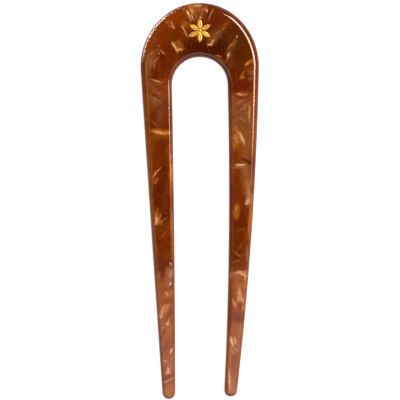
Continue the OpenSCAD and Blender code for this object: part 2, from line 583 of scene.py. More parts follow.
        # Polishing takes a hair off the outline, as a share of its size, and so keeps the edge
        # inside the sheet that it was cut from
        rings = {
            "outline": [p * MM * (1 - self.polish_loss) for p in loop],
            "recess": [(p + middle) * MM for p in self.recess.loop(self.recess_gap)],
        }
        sizes = {
            "Thickness": self.thickness * MM,
            "Edge Radius": self.edge_radius * MM,
            "Edge Parts": self.edge_parts,
            "Flat Margin": self.flat_margin * MM,
            "Recess Depth": self.recess_depth * MM,
            "Weld Distance": self.weld_distance * MM,
            "Finish": finish,
        }
        widths = [self.edge_width(p) * MM for p in loop]
        return grown("acetate_pin", ring_mesh("pin_rings", rings, widths), self.tree(), sizes)


@dataclass(frozen=True)
class GiltRosette:
    """The gilt rosette: petals with a vein along each, round a domed boss, let into the crown.

    Heights are in millimetres above the back of the pin. A petal swells quickly from its rim and
    its ends to its full height, and its vein is as wide as a share of its half width.
    """

    plan: RosetteOutline
    foot_z: float = 3.7
    rim_z: float = 4.0
    top_z: float = 4.1
    stations: int = 22
    across_parts: int = 10
    vein_depth: float = 0.07
    vein_share: float = 0.22
    rim_swell: float = 0.6
    end_swell: float = 0.35
    boss_segments: int = 40

    def top_height(self, along: float, across: float) -> float:
        """Returns the height of a petal's top, in millimetres.

        Args:
            along: 0 at the petal's inner end and 1 at its tip.
            across: -1 at one edge and 1 at the other.

        Returns:
            The height above the back of the pin.
        """
        arc = math.sin(math.pi * along)
        swell = (1 - across * across) ** self.rim_swell * arc ** self.end_swell
        vein = self.vein_depth * math.exp(-((across / self.vein_share) ** 2)) * arc
        return self.rim_z + (self.top_z - self.rim_z) * swell - vein

    def petal(self) -> Mesh:
        """Makes the mesh of one petal, which points along X from the rosette's middle.

        Returns:
            The closed mesh, in metres.
        """
        long = self.plan.petal_length()
        inner = self.plan.width / 2 - long
        shares = [0.5 - 0.5 * math.cos(math.pi * s) for s in spread(0, 1, self.stations)][1:-1]
        lanes = spread(-1, 1, self.across_parts)

        # Foot and rim at the inner end, a row of points across each station, then foot and rim at the tip
        points = [(inner, 0.0, self.foot_z), (inner, 0.0, self.rim_z)]
        for s in shares:
            wide = self.plan.half_width(s)
            points.append((inner + s * long, -wide, self.foot_z))
            points += [(inner + s * long, lane * wide, self.top_height(s, lane)) for lane in lanes]
            points.append((inner + s * long, wide, self.foot_z))
        row = len(lanes) + 2
        last = len(points)
        points += [(self.plan.width / 2, 0.0, self.foot_z), (self.plan.width / 2, 0.0, self.rim_z)]

        # Each row joined to the next, all round, and both ends closed
        faces: list[tuple[int, ...]] = []
        for i in range(len(shares) - 1):
            a, b = 2 + i * row, 2 + (i + 1) * row
            faces += [(a + j, b + j, b + j + 1, a + j + 1) for j in range(row - 1)]
            faces.append((a + row - 1, b + row - 1, b, a))
        first, end = 2, 2 + (len(shares) - 1) * row
        faces += [(1, first + j, first + j + 1) for j in range(1, row - 2)]
        faces += [(last + 1, end + j + 1, end + j) for j in range(1, row - 2)]
        faces += [
            (0, first, first + 1, 1),
            (1, first + row - 2, first + row - 1, 0),
            (0, first + row - 1, first),
            (last, last + 1, end + 1, end),
            (last + 1, last, end + row - 1, end + row - 2),
            (last, end, end + row - 1),
        ]
        mesh = bpy.data.meshes.new("petal")
        mesh.from_pydata([(x * MM, y * MM, z * MM) for x, y, z in points], [], faces)
        return mesh

    def boss(self, tree: NodeTree, given: Any) -> Node:
        """Adds the nodes for the boss, a ball squashed to a dome, with its lower half as a flat foot.

        Args:
            tree: The Geometry Nodes tree.
            given: The tree's named inputs.

        Returns:
            A node that gives the boss.
        """
        radius, foot = given["Boss Radius"], given["Boss Foot"]
        tall = add(tree, "ShaderNodeMath", {0: given["Boss Top"], 1: foot}, operation="SUBTRACT")
        ball = add(tree, "GeometryNodeMeshUVSphere", {
            "Segments": self.boss_segments, "Rings": self.boss_segments // 2, "Radius": 1.0})
        squash = add(tree, "ShaderNodeCombineXYZ", {0: radius, 1: radius, 2: tall})
        at_foot = add(tree, "ShaderNodeCombineXYZ", {2: foot})
        dome = add(tree, "GeometryNodeTransform", {0: ball, "Translation": at_foot, "Scale": squash})
        where = add(tree, "GeometryNodeInputPosition")
        floor = add(tree, "ShaderNodeVectorMath", {0: where, 1: at_foot}, operation="MAXIMUM")
        height = add(tree, "ShaderNodeSeparateXYZ", {0: floor})
        flat = add(tree, "ShaderNodeSeparateXYZ", {0: where})
        settled = add(tree, "ShaderNodeCombineXYZ", {
            0: flat.outputs["X"], 1: flat.outputs["Y"], 2: height.outputs["Z"]})
        return add(tree, "GeometryNodeSetPosition", {0: dome, "Position": settled})

    def tree(self) -> NodeTree:
        """Builds the tree that sets the petals round the middle and adds the boss.

        Returns:
            The Geometry Nodes tree.
        """
        sizes = {
            "Petals": "Int",
            "First Turn": "Float",
            "Boss Radius": "Float",
            "Boss Foot": "Float",
            "Boss Top": "Float",
            "Middle": "Vector",
            "Finish": "Material",
        }
        tree, given = new_shape_tree("rosette", sizes)
        ring = add(tree, "GeometryNodeMeshLine", {"Count": given["Petals"], "Offset": (0.0, 0.0, 0.0)})
        step = add(tree, "ShaderNodeMath", {0: 2 * math.pi, 1: given["Petals"]}, operation="DIVIDE")
        number = add(tree, "GeometryNodeInputIndex")
        turn = add(tree, "ShaderNodeMath", {0: number, 1: step, 2: given["First Turn"]}, operation="MULTIPLY_ADD")
        facing = add(tree, "ShaderNodeCombineXYZ", {2: turn})
        petals = add(tree, "GeometryNodeInstanceOnPoints", {0: ring, "Instance": given[0], "Rotation": facing})
        joined = add(tree, "GeometryNodeJoinGeometry", {0: [petals, self.boss(tree, given)]})
        moved = add(tree, "GeometryNodeTransform", {0: joined, "Translation": given["Middle"]})
        end_shape_tree(tree, moved, given["Finish"])
        return tree

    def build(self, finish: Material) -> Object:
        """Builds the rosette and dresses it.

        Args:
            finish: The gilt brass.

        Returns:
            The piece.
        """
        sizes = {
            "Petals": self.plan.petals,
            "First Turn": math.pi / 2,
            "Boss Radius": self.plan.boss_radius * MM,
            "Boss Foot": self.foot_z * MM,
            "Boss Top": self.top_z * MM,
            "Middle": (0.0, self.plan.middle_y * MM, 0.0),
            "Finish": finish,
        }
        return grown("rosette", self.petal(), self.tree(), sizes)


# Finishes


@dataclass(frozen=True)
class Veil:
    """A tint laid over the sheet's colour where a pattern runs from start to end.

    The share is how much of the colour the tint takes at the end.
    """

    colour: str
    start: float
    end: float
    share: float

    def over(self, tree: NodeTree, pattern: Source, colour: Source) -> Node:
        """Adds the nodes that lay the tint.

        Args:
            tree: The material's tree.
            pattern: Where the tint lies.
            colour: The colour below it.

        Returns:
            A node that gives the tinted colour.
        """
        amount = add(tree, "ShaderNodeMapRange", {
            "Value": pattern, "From Min": self.start, "From Max": self.end, "To Max": self.share}, **SMOOTH)
        return add(tree, "ShaderNodeMix", {
            "Factor": amount, "A": colour, "B": linear(self.colour)}, data_type="RGBA")


class Tint(Enum):
    """Colours of the sheet and of the pearl flakes in it, as they look from the front."""

    PALE = "#ffcb9c"
    PEACH = "#ecaa6c"
    STRAW = "#f0b262"
    GOLD = "#c6782e"
    OCHRE = "#b26a1e"
    LILAC = "#b57d5c"
    HONEY = "#a2632e"
    TAN = "#9a6038"
    SIENNA = "#b3622b"
    AMBER = "#9a4e10"
    MAUVE = "#884724"
    RUST = "#9c4006"
    CHESTNUT = "#8c3a04"
    EMBER = "#803204"
    OLIVE = "#7e4c20"
    UMBER = "#602d0d"
    RUSSET = "#702c06"
    WINE = "#6a2403"
    DARK = "#4c1a03"


class Form(Enum):
    """Shapes of a flake: how square it is, how far it tapers, how soft its rim is, and how far it
    fades from end to end and from side to side. In a sheen and in a fold, that fade is painted
    sheen: the flake is painted brighter at the end or side that catches the light.

    A streak is a narrow cloud, and both are too soft to show the grain.
    """

    CLOUD = (0.0, 0.0, 1.5, 0.0, 0.0)
    STREAK = CLOUD
    SPOT = (0.0, 0.0, 1.2, 0.0, 0.0)
    LINE = (0.0, 0.0, 0.8, 0.0, 0.0)
    PATCH = (1.0, 0.0, 0.8, 0.0, 0.0)
    SHEEN = (1.0, 0.0, 0.6, 0.85, 0.0)
    FOLD_SHEEN = (1.0, 0.0, 0.45, 0.0, 1.0)
    WEDGE = (1.0, 0.85, 0.6, 0.5, 0.0)


@dataclass(frozen=True)
class Fleck:
    """One flake or stain of the pearl, in millimetres of the front face and degrees of turn."""

    tint: Tint
    form: Form
    x: float
    y: float
    long: float
    wide: float
    turn: float
    strength: float

    def shows_grain(self) -> bool:
        """Says whether the grain shows in it: not in soft clouds, nor in the sienna grounds."""
        return self.form is not Form.CLOUD and self.tint is not Tint.SIENNA


# Columns: tint, form, x, y, long, wide, turn, strength. Stains come first and flakes lie over them.
# The pale flakes are partly pale pearl and partly painted glint: the light that the slanting flakes catch is painted
# into their colour
FLECKS: dict[str, tuple[Fleck, ...]] = {
    "ground of the crown": (
        Fleck(Tint.UMBER, Form.CLOUD, 10.9, 51.5, 21.7, 16.4, 115, 0.95),
        Fleck(Tint.DARK, Form.CLOUD, 1.4, 49.6, 17.7, 7.2, 0, 1.0),
        Fleck(Tint.CHESTNUT, Form.CLOUD, -12.1, 54.8, 15.1, 7.2, 52, 0.8),
        Fleck(Tint.AMBER, Form.SPOT, -16.2, 51.5, 7.2, 2.0, 74, 0.75),
        Fleck(Tint.AMBER, Form.CLOUD, -14.4, 56.4, 5.9, 3.0, 48, 0.6),
        Fleck(Tint.RUST, Form.CLOUD, -8.1, 60.1, 7.9, 3.9, 35, 0.8),
        Fleck(Tint.AMBER, Form.CLOUD, -1.2, 62.0, 7.2, 5.3, 0, 0.75),
        Fleck(Tint.RUSSET, Form.CLOUD, 7.3, 59.7, 11.2, 5.3, -35, 0.7),
        Fleck(Tint.TAN, Form.SPOT, -16.0, 45.9, 5.3, 2.8, 78, 0.75),
        Fleck(Tint.MAUVE, Form.SPOT, -14.1, 48.9, 3.0, 2.0, 30, 0.6),
        Fleck(Tint.RUSSET, Form.CLOUD, -10.4, 46.3, 10.5, 5.3, 60, 0.8),
        Fleck(Tint.WINE, Form.CLOUD, 10.6, 40.4, 6.6, 7.2, 0, 0.8),
    ),
    "ground of the left leg": (
        Fleck(Tint.WINE, Form.CLOUD, -13.4, 42.3, 6.6, 4.3, 0, 0.6),
        Fleck(Tint.AMBER, Form.STREAK, -17.3, 22.6, 38.1, 1.6, -88, 0.8),
        Fleck(Tint.WINE, Form.STREAK, -13.6, 40.5, 5.6, 0.7, 3, 0.6),
        Fleck(Tint.TAN, Form.SPOT, -17.0, 41.0, 7.9, 2.0, 85, 0.6),
        Fleck(Tint.MAUVE, Form.CLOUD, -14.1, 33.8, 7.9, 6.6, 85, 0.7),
        Fleck(Tint.MAUVE, Form.CLOUD, -12.7, 27.9, 8.5, 3.9, 85, 0.45),
        Fleck(Tint.AMBER, Form.SPOT, -16.0, 16.1, 9.8, 2.3, 85, 0.6),
        Fleck(Tint.WINE, Form.CLOUD, -12.1, 6.9, 15.1, 3.0, 86, 0.85),
        Fleck(Tint.WINE, Form.SPOT, -14.1, 1.3, 4.9, 2.3, 84, 0.8),
        Fleck(Tint.MAUVE, Form.SPOT, -11.4, 1.9, 8.5, 1.3, 88, 0.5),
        Fleck(Tint.AMBER, Form.CLOUD, -12.4, -8.9, 5.9, 5.9, 84, 0.4),
        Fleck(Tint.SIENNA, Form.PATCH, -11.8, -40.4, 28.9, 7.2, 88, 1.0),
        Fleck(Tint.SIENNA, Form.PATCH, -10.4, -56.8, 19.7, 7.2, 88, 1.0),
    ),
    "ground of the right leg": (
        Fleck(Tint.TAN, Form.PATCH, 14.2, 27.2, 13.1, 8.5, 90, 0.85),
        Fleck(Tint.HONEY, Form.CLOUD, 15.8, 16.7, 19.7, 5.3, 90, 0.8),
        Fleck(Tint.HONEY, Form.CLOUD, 15.5, 7.5, 9.8, 4.3, 90, 0.75),
        Fleck(Tint.EMBER, Form.CLOUD, 17.1, 11.5, 9.2, 3.0, 90, 0.8),
        Fleck(Tint.EMBER, Form.CLOUD, 11.9, 3.6, 19.7, 3.3, 90, 0.5),
        Fleck(Tint.AMBER, Form.SPOT, 14.8, -16.1, 6.6, 2.3, 85, 0.6),
        Fleck(Tint.WINE, Form.CLOUD, 12.9, -8.2, 16.4, 5.3, 90, 0.7),
        Fleck(Tint.SIENNA, Form.PATCH, 12.2, -39.7, 30.2, 7.9, 90, 1.0),
        Fleck(Tint.SIENNA, Form.PATCH, 10.9, -56.8, 19.7, 7.2, 92, 1.0),
    ),
    "crown": (
        # The pale line and the gold spots at the start lie on the crown's rounded top rim: a painted highlight
        Fleck(Tint.PALE, Form.LINE, -1.1, 63.9, 3.2, 0.9, 3, 1.0),
        Fleck(Tint.GOLD, Form.SPOT, -1.0, 62.7, 3.6, 2.0, 0, 0.55),
        Fleck(Tint.PEACH, Form.SPOT, -5.2, 62.8, 1.0, 0.7, 40, 0.6),
        Fleck(Tint.GOLD, Form.SPOT, -3.3, 64.0, 3.9, 1.2, -12, 0.9),
        Fleck(Tint.STRAW, Form.STREAK, -2.5, 62.0, 3.0, 1.1, -58, 0.8),
        Fleck(Tint.TAN, Form.STREAK, -1.5, 60.5, 2.4, 0.9, -62, 0.9),
        Fleck(Tint.TAN, Form.STREAK, -3.5, 59.8, 2.5, 1.0, -65, 0.9),
        Fleck(Tint.PALE, Form.LINE, -3.8, 61.4, 2.0, 0.7, -66, 1.0),
        Fleck(Tint.PALE, Form.LINE, -3.9, 61.5, 1.0, 0.5, -67, 0.8),
        Fleck(Tint.DARK, Form.LINE, -2.9, 60.9, 2.5, 0.4, -67, 0.7),
        Fleck(Tint.STRAW, Form.LINE, -3.2, 59.9, 2.1, 0.4, -68, 1.0),
        Fleck(Tint.PALE, Form.LINE, -2.5, 60.1, 2.0, 0.4, -63, 1.0),
        Fleck(Tint.UMBER, Form.LINE, -1.9, 60.4, 1.9, 0.4, -63, 0.6),
        Fleck(Tint.LILAC, Form.STREAK, 0.5, 60.5, 2.2, 0.6, -104, 0.95),
        Fleck(Tint.PALE, Form.SPOT, 0.3, 60.0, 0.7, 0.6, -105, 0.9),
        Fleck(Tint.AMBER, Form.SPOT, 1.2, 60.8, 2.0, 1.0, 70, 0.7),
        Fleck(Tint.LILAC, Form.SPOT, 1.7, 62.8, 2.0, 1.3, 50, 0.75),
        Fleck(Tint.PEACH, Form.LINE, 2.3, 62.2, 1.4, 0.6, -75, 1.0),
        Fleck(Tint.DARK, Form.STREAK, 3.0, 61.1, 3.1, 0.7, -113, 0.6),
        Fleck(Tint.LILAC, Form.STREAK, 3.6, 60.9, 3.5, 0.5, -113, 0.9),
        Fleck(Tint.OCHRE, Form.PATCH, -4.7, 57.8, 2.6, 1.8, -30, 0.8),
        Fleck(Tint.GOLD, Form.LINE, -4.6, 57.9, 1.2, 0.5, 36, 0.9),
        Fleck(Tint.PEACH, Form.SPOT, -5.8, 57.0, 0.9, 0.7, 0, 0.8),
        Fleck(Tint.TAN, Form.STREAK, -4.4, 54.5, 2.5, 1.0, -65, 0.9),
        Fleck(Tint.PALE, Form.LINE, -5.1, 56.0, 1.7, 0.5, -62, 1.0),
        Fleck(Tint.STRAW, Form.LINE, -4.5, 54.7, 1.9, 0.4, -65, 0.7),
        Fleck(Tint.HONEY, Form.PATCH, -9.7, 58.2, 3.6, 1.6, -52, 0.5),
        Fleck(Tint.PEACH, Form.STREAK, -8.9, 57.7, 2.2, 0.5, -61, 0.7),
        Fleck(Tint.PEACH, Form.SPOT, -10.7, 58.4, 0.8, 0.6, 0, 0.7),
        Fleck(Tint.GOLD, Form.LINE, -9.6, 57.2, 1.5, 0.5, -20, 0.85),
        Fleck(Tint.TAN, Form.LINE, -10.7, 58.6, 1.9, 0.4, -70, 0.7),
        Fleck(Tint.PALE, Form.SPOT, -8.5, 56.7, 0.8, 0.5, -20, 1.0),
        Fleck(Tint.OCHRE, Form.PATCH, -7.0, 50.7, 3.3, 2.8, -62, 0.9),
        Fleck(Tint.OLIVE, Form.SPOT, -6.0, 51.7, 1.6, 1.1, 0, 0.6),
        Fleck(Tint.STRAW, Form.LINE, -8.1, 50.4, 3.9, 0.8, -62, 1.0),
        Fleck(Tint.PALE, Form.LINE, -8.0, 50.2, 2.8, 0.5, -64, 0.8),
        Fleck(Tint.STRAW, Form.LINE, -6.4, 49.5, 1.7, 0.9, 9, 1.0),
        Fleck(Tint.OLIVE, Form.SHEEN, 6.1, 54.9, 7.9, 3.6, -138, 0.95),
        Fleck(Tint.TAN, Form.SPOT, 4.9, 53.4, 5.6, 2.1, -134, 0.5),
        Fleck(Tint.OCHRE, Form.SPOT, 3.7, 51.9, 2.6, 1.6, 42, 0.75),
        Fleck(Tint.DARK, Form.LINE, 3.3, 52.1, 1.1, 0.4, 24, 0.7),
        Fleck(Tint.PALE, Form.LINE, 4.3, 52.2, 1.1, 0.6, 59, 1.0),
        Fleck(Tint.STRAW, Form.SPOT, 3.4, 51.2, 1.6, 0.7, 4, 1.0),
        Fleck(Tint.PALE, Form.SPOT, 3.6, 51.2, 0.8, 0.5, 4, 0.8),
        Fleck(Tint.TAN, Form.LINE, 5.4, 54.4, 2.6, 0.5, 52, 0.8),
        Fleck(Tint.LILAC, Form.LINE, 6.2, 55.3, 1.9, 0.4, 45, 0.6),
        Fleck(Tint.GOLD, Form.LINE, 7.4, 56.6, 0.9, 0.4, 63, 0.9),
        Fleck(Tint.GOLD, Form.LINE, 8.1, 56.3, 1.2, 0.4, 45, 0.9),
        Fleck(Tint.AMBER, Form.SPOT, 8.5, 57.9, 2.6, 1.4, 40, 0.9),
        Fleck(Tint.DARK, Form.STREAK, 8.1, 54.1, 4.9, 1.6, 42, 0.5),
        Fleck(Tint.OLIVE, Form.STREAK, 10.5, 50.7, 5.6, 1.2, -126, 0.75),
        Fleck(Tint.TAN, Form.LINE, 11.7, 52.5, 2.2, 0.5, -117, 0.8),
        Fleck(Tint.PEACH, Form.SPOT, 12.2, 53.8, 0.8, 0.5, 60, 1.0),
        Fleck(Tint.TAN, Form.SHEEN, 10.2, 49.9, 4.9, 1.4, 60, 0.5),
        Fleck(Tint.GOLD, Form.LINE, 9.8, 50.6, 2.5, 0.4, -134, 1.0),
        Fleck(Tint.TAN, Form.SHEEN, 9.3, 46.8, 4.3, 1.2, 68, 0.8),
        Fleck(Tint.LILAC, Form.LINE, 8.8, 46.1, 2.4, 0.4, -110, 0.8),
        Fleck(Tint.PALE, Form.SPOT, 9.4, 47.7, 1.5, 0.7, 65, 1.0),
        Fleck(Tint.OLIVE, Form.STREAK, 10.2, 45.6, 5.4, 1.3, -102, 0.6),
        Fleck(Tint.AMBER, Form.SPOT, 7.0, 46.1, 2.3, 1.5, -30, 0.75),
        Fleck(Tint.GOLD, Form.LINE, 6.1, 47.3, 2.2, 0.5, -13, 1.0),
        Fleck(Tint.RUST, Form.SPOT, 16.3, 44.0, 2.6, 1.3, 0, 0.8),
        Fleck(Tint.GOLD, Form.STREAK, 16.0, 45.3, 2.8, 0.9, 39, 1.0),
        Fleck(Tint.STRAW, Form.LINE, 15.5, 45.0, 1.3, 0.5, 45, 1.0),
        Fleck(Tint.OCHRE, Form.SPOT, 16.7, 45.5, 1.6, 1.2, 30, 0.9),
        Fleck(Tint.TAN, Form.SPOT, 16.6, 42.3, 2.6, 2.0, 0, 0.7),
        Fleck(Tint.GOLD, Form.STREAK, 13.9, 41.5, 3.0, 0.6, 59, 0.65),
        Fleck(Tint.GOLD, Form.SPOT, 14.0, 40.4, 1.4, 0.9, 40, 0.95),
        Fleck(Tint.WINE, Form.SPOT, 15.6, 40.8, 1.6, 0.9, 10, 0.8),
        Fleck(Tint.LILAC, Form.LINE, 16.7, 40.0, 1.7, 0.5, 18, 0.75),
        Fleck(Tint.TAN, Form.SPOT, -14.5, 52.7, 2.6, 1.0, 100, 0.55),
        Fleck(Tint.LILAC, Form.SPOT, -13.5, 50.7, 0.7, 0.5, 0, 0.6),
        Fleck(Tint.TAN, Form.SPOT, -16.3, 46.3, 5.3, 2.8, 78, 0.7),
        Fleck(Tint.TAN, Form.SPOT, -17.1, 45.3, 5.3, 1.8, 86, 0.5),
        Fleck(Tint.HONEY, Form.STREAK, -16.8, 47.2, 2.3, 0.6, 64, 1.0),
        Fleck(Tint.LILAC, Form.STREAK, -15.9, 48.3, 1.6, 0.6, 32, 0.7),
        Fleck(Tint.LILAC, Form.STREAK, -14.9, 44.4, 2.0, 0.5, 86, 0.7),
        Fleck(Tint.LILAC, Form.STREAK, -14.2, 46.0, 2.3, 0.6, 50, 0.75),
        Fleck(Tint.LILAC, Form.SPOT, -16.2, 45.3, 2.0, 1.1, 70, 0.4),
        Fleck(Tint.HONEY, Form.LINE, -15.9, 44.5, 2.1, 0.4, 37, 0.5),
        Fleck(Tint.LILAC, Form.LINE, -13.5, 49.1, 1.6, 0.4, -53, 0.55),
        Fleck(Tint.WINE, Form.STREAK, -12.0, 46.9, 4.2, 1.8, -69, 0.9),
        Fleck(Tint.PEACH, Form.SPOT, -13.4, 48.2, 0.7, 0.5, 40, 0.7),
        Fleck(Tint.PEACH, Form.LINE, -12.0, 48.5, 2.1, 0.4, -57, 0.85),
    ),
    "left leg": (
        Fleck(Tint.PEACH, Form.STREAK, -14.4, 39.3, 3.1, 0.6, -20, 0.8),
        Fleck(Tint.TAN, Form.SPOT, -14.4, 38.4, 3.0, 1.3, -15, 0.6),
        Fleck(Tint.DARK, Form.STREAK, -15.0, 40.0, 2.7, 0.8, -14, 0.5),
        Fleck(Tint.AMBER, Form.PATCH, -15.7, 36.9, 3.0, 1.6, -50, 0.9),
        Fleck(Tint.TAN, Form.STREAK, -15.7, 37.7, 3.2, 0.7, -42, 0.7),
        Fleck(Tint.LILAC, Form.STREAK, -15.4, 33.7, 3.7, 0.5, -28, 0.4),
        Fleck(Tint.LILAC, Form.STREAK, -13.7, 33.0, 4.0, 0.5, -35, 0.35),
        Fleck(Tint.LILAC, Form.STREAK, -13.8, 35.5, 2.9, 0.7, -20, 0.35),
        Fleck(Tint.LILAC, Form.STREAK, -15.2, 32.2, 3.1, 0.5, -33, 0.4),
        Fleck(Tint.LILAC, Form.STREAK, -14.4, 32.6, 3.8, 0.4, -31, 0.35),
        Fleck(Tint.DARK, Form.STREAK, -14.9, 34.7, 3.1, 0.6, -32, 0.35),
        Fleck(Tint.LILAC, Form.SPOT, -13.1, 28.2, 3.9, 1.3, 80, 0.2),
        Fleck(Tint.LILAC, Form.LINE, -14.7, 25.3, 2.8, 0.5, -45, 0.4),
        Fleck(Tint.AMBER, Form.PATCH, -12.8, 21.8, 6.6, 3.6, -3, 0.85),
        Fleck(Tint.GOLD, Form.STREAK, -13.6, 22.6, 3.6, 1.5, -15, 0.9),
        Fleck(Tint.GOLD, Form.STREAK, -11.3, 22.3, 3.6, 1.2, 7, 1.0),
        Fleck(Tint.PEACH, Form.STREAK, -13.6, 22.5, 3.2, 0.7, -15, 1.0),
        Fleck(Tint.PEACH, Form.LINE, -11.2, 22.2, 3.2, 0.6, 7, 0.7),
        Fleck(Tint.AMBER, Form.SHEEN, -10.3, 15.9, 5.3, 1.8, 62, 0.9),
        Fleck(Tint.LILAC, Form.SPOT, -9.3, 14.4, 2.6, 1.2, 78, 0.9),
        Fleck(Tint.GOLD, Form.STREAK, -9.3, 8.5, 9.9, 1.1, -88, 0.8),
        Fleck(Tint.PEACH, Form.LINE, -9.1, 8.8, 6.6, 0.6, -88, 0.8),
        Fleck(Tint.PEACH, Form.LINE, -14.1, 9.4, 4.1, 0.5, -130, 1.0),
        Fleck(Tint.GOLD, Form.FOLD_SHEEN, -14.6, 6.7, 2.3, 1.6, -120, 0.85),
        Fleck(Tint.AMBER, Form.STREAK, -15.6, 9.2, 8.6, 1.1, -86, 0.6),
        Fleck(Tint.GOLD, Form.STREAK, -16.0, -0.0, 40.1, 1.1, -86, 0.5),
        Fleck(Tint.GOLD, Form.WEDGE, -13.8, -5.1, 5.1, 2.8, -84, 0.95),
        Fleck(Tint.PEACH, Form.LINE, -14.3, -5.7, 3.8, 0.7, -79, 0.6),
        Fleck(Tint.PEACH, Form.LINE, -13.0, -5.3, 3.4, 0.5, -105, 0.4),
        Fleck(Tint.PALE, Form.SPOT, -14.1, -6.5, 2.3, 0.9, 80, 1.0),
        Fleck(Tint.GOLD, Form.LINE, -12.0, -6.3, 2.8, 0.4, 31, 0.75),
        Fleck(Tint.GOLD, Form.LINE, -12.1, -11.2, 3.6, 0.4, 48, 0.5),
        Fleck(Tint.WINE, Form.SPOT, -11.0, -4.1, 3.0, 1.6, 10, 0.8),
        Fleck(Tint.HONEY, Form.LINE, -11.0, -4.0, 2.3, 0.4, -16, 0.4),
        Fleck(Tint.MAUVE, Form.SPOT, -10.4, -7.4, 1.6, 1.1, 70, 0.7),
        Fleck(Tint.GOLD, Form.STREAK, -9.1, -10.9, 18.4, 0.9, -89, 0.75),
        Fleck(Tint.LILAC, Form.LINE, -9.2, -8.2, 9.2, 0.6, -88, 0.6),
        Fleck(Tint.AMBER, Form.STREAK, -14.2, -16.1, 9.2, 0.9, -86, 0.5),
        Fleck(Tint.PALE, Form.SPOT, -9.5, -20.6, 1.1, 0.6, -50, 0.7),
        Fleck(Tint.LILAC, Form.SPOT, -10.2, -24.3, 5.9, 2.2, 84, 0.9),
        Fleck(Tint.LILAC, Form.FOLD_SHEEN, -10.3, -24.8, 6.2, 2.8, -98, 0.85),
        Fleck(Tint.PEACH, Form.SPOT, -9.5, -24.0, 2.6, 1.0, 80, 0.6),
        Fleck(Tint.PALE, Form.SPOT, -9.7, -27.1, 1.3, 0.7, 70, 0.9),
        Fleck(Tint.RUSSET, Form.SPOT, -12.5, -23.7, 3.9, 1.3, 84, 0.5),
        Fleck(Tint.GOLD, Form.SPOT, -13.5, -24.5, 2.3, 1.1, 80, 0.8),
        Fleck(Tint.GOLD, Form.FOLD_SHEEN, -10.6, -29.9, 3.3, 2.6, -155, 0.95),
        Fleck(Tint.PALE, Form.SPOT, -10.9, -30.4, 1.6, 0.7, -50, 0.8),
        Fleck(Tint.MAUVE, Form.PATCH, -10.3, -33.0, 3.9, 1.6, 10, 0.6),
        Fleck(Tint.PEACH, Form.FOLD_SHEEN, -11.6, -36.1, 4.6, 2.5, 60, 0.5),
        Fleck(Tint.PEACH, Form.LINE, -12.3, -36.3, 3.2, 0.7, 73, 0.8),
        Fleck(Tint.PEACH, Form.LINE, -10.8, -34.2, 2.9, 0.6, 24, 0.7),
        Fleck(Tint.PEACH, Form.LINE, -11.1, -36.1, 3.4, 0.6, 61, 0.5),
        Fleck(Tint.PALE, Form.SPOT, -12.7, -37.8, 1.3, 0.8, 80, 0.8),
        Fleck(Tint.MAUVE, Form.STREAK, -10.1, -37.6, 4.7, 1.1, 65, 0.7),
        Fleck(Tint.PALE, Form.SPOT, -10.6, -40.3, 1.3, 1.1, 0, 0.95),
        Fleck(Tint.PEACH, Form.LINE, -10.3, -39.3, 2.4, 0.7, -107, 0.8),
        Fleck(Tint.PEACH, Form.SPOT, -11.8, -41.4, 0.9, 0.7, 0, 0.6),
        Fleck(Tint.GOLD, Form.SHEEN, -10.0, -42.9, 4.3, 2.1, 80, 0.8),
        Fleck(Tint.MAUVE, Form.STREAK, -12.1, -43.7, 4.3, 1.0, 67, 0.7),
        Fleck(Tint.MAUVE, Form.STREAK, -11.2, -47.9, 5.4, 1.1, 63, 0.85),
        Fleck(Tint.MAUVE, Form.STREAK, -10.2, -49.0, 4.2, 0.9, 65, 0.6),
        Fleck(Tint.PALE, Form.SPOT, -9.3, -49.0, 1.8, 0.7, 72, 0.95),
        Fleck(Tint.PEACH, Form.SPOT, -11.4, -52.3, 1.4, 0.6, -20, 0.7),
        Fleck(Tint.LILAC, Form.FOLD_SHEEN, -9.7, -52.9, 4.9, 2.0, -98, 0.85),
        Fleck(Tint.PALE, Form.WEDGE, -10.4, -55.3, 2.8, 1.7, -75, 1.0),
        Fleck(Tint.RUSSET, Form.SPOT, -11.3, -54.8, 2.3, 0.7, 80, 0.5),
        Fleck(Tint.MAUVE, Form.PATCH, -10.3, -57.3, 3.9, 1.5, 24, 0.8),
        Fleck(Tint.RUSSET, Form.LINE, -10.2, -57.6, 3.0, 0.5, 24, 0.6),
        Fleck(Tint.PEACH, Form.LINE, -10.4, -58.8, 3.7, 0.7, 27, 0.85),
        Fleck(Tint.RUSSET, Form.LINE, -10.4, -59.6, 3.1, 0.6, 27, 0.5),
        Fleck(Tint.GOLD, Form.CLOUD, -10.4, -62.4, 3.9, 3.3, 60, 0.8),
        Fleck(Tint.GOLD, Form.SPOT, -10.6, -62.5, 2.0, 1.3, 50, 0.7),
    ),
    "right leg": (
        Fleck(Tint.WINE, Form.CLOUD, 13.9, 37.1, 3.9, 6.6, 90, 0.75),
        Fleck(Tint.TAN, Form.SPOT, 13.7, 34.8, 4.6, 1.8, -3, 0.8),
        Fleck(Tint.PEACH, Form.SPOT, 13.3, 34.9, 2.5, 0.6, -6, 0.9),
        Fleck(Tint.LILAC, Form.LINE, 15.2, 34.7, 1.8, 0.5, 38, 0.7),
        Fleck(Tint.DARK, Form.LINE, 12.9, 33.9, 2.7, 0.7, -13, 0.7),
        Fleck(Tint.DARK, Form.LINE, 15.1, 34.1, 2.6, 0.6, 23, 0.7),
        Fleck(Tint.DARK, Form.LINE, 12.3, 35.8, 1.9, 0.7, 12, 0.6),
        Fleck(Tint.LILAC, Form.LINE, 13.1, 32.4, 2.8, 0.6, 22, 0.7),
        Fleck(Tint.LILAC, Form.LINE, 15.0, 31.0, 4.2, 0.7, 39, 0.65),
        Fleck(Tint.LILAC, Form.LINE, 14.8, 30.8, 2.6, 0.6, -60, 0.5),
        Fleck(Tint.LILAC, Form.LINE, 12.8, 29.4, 3.4, 0.6, 35, 0.45),
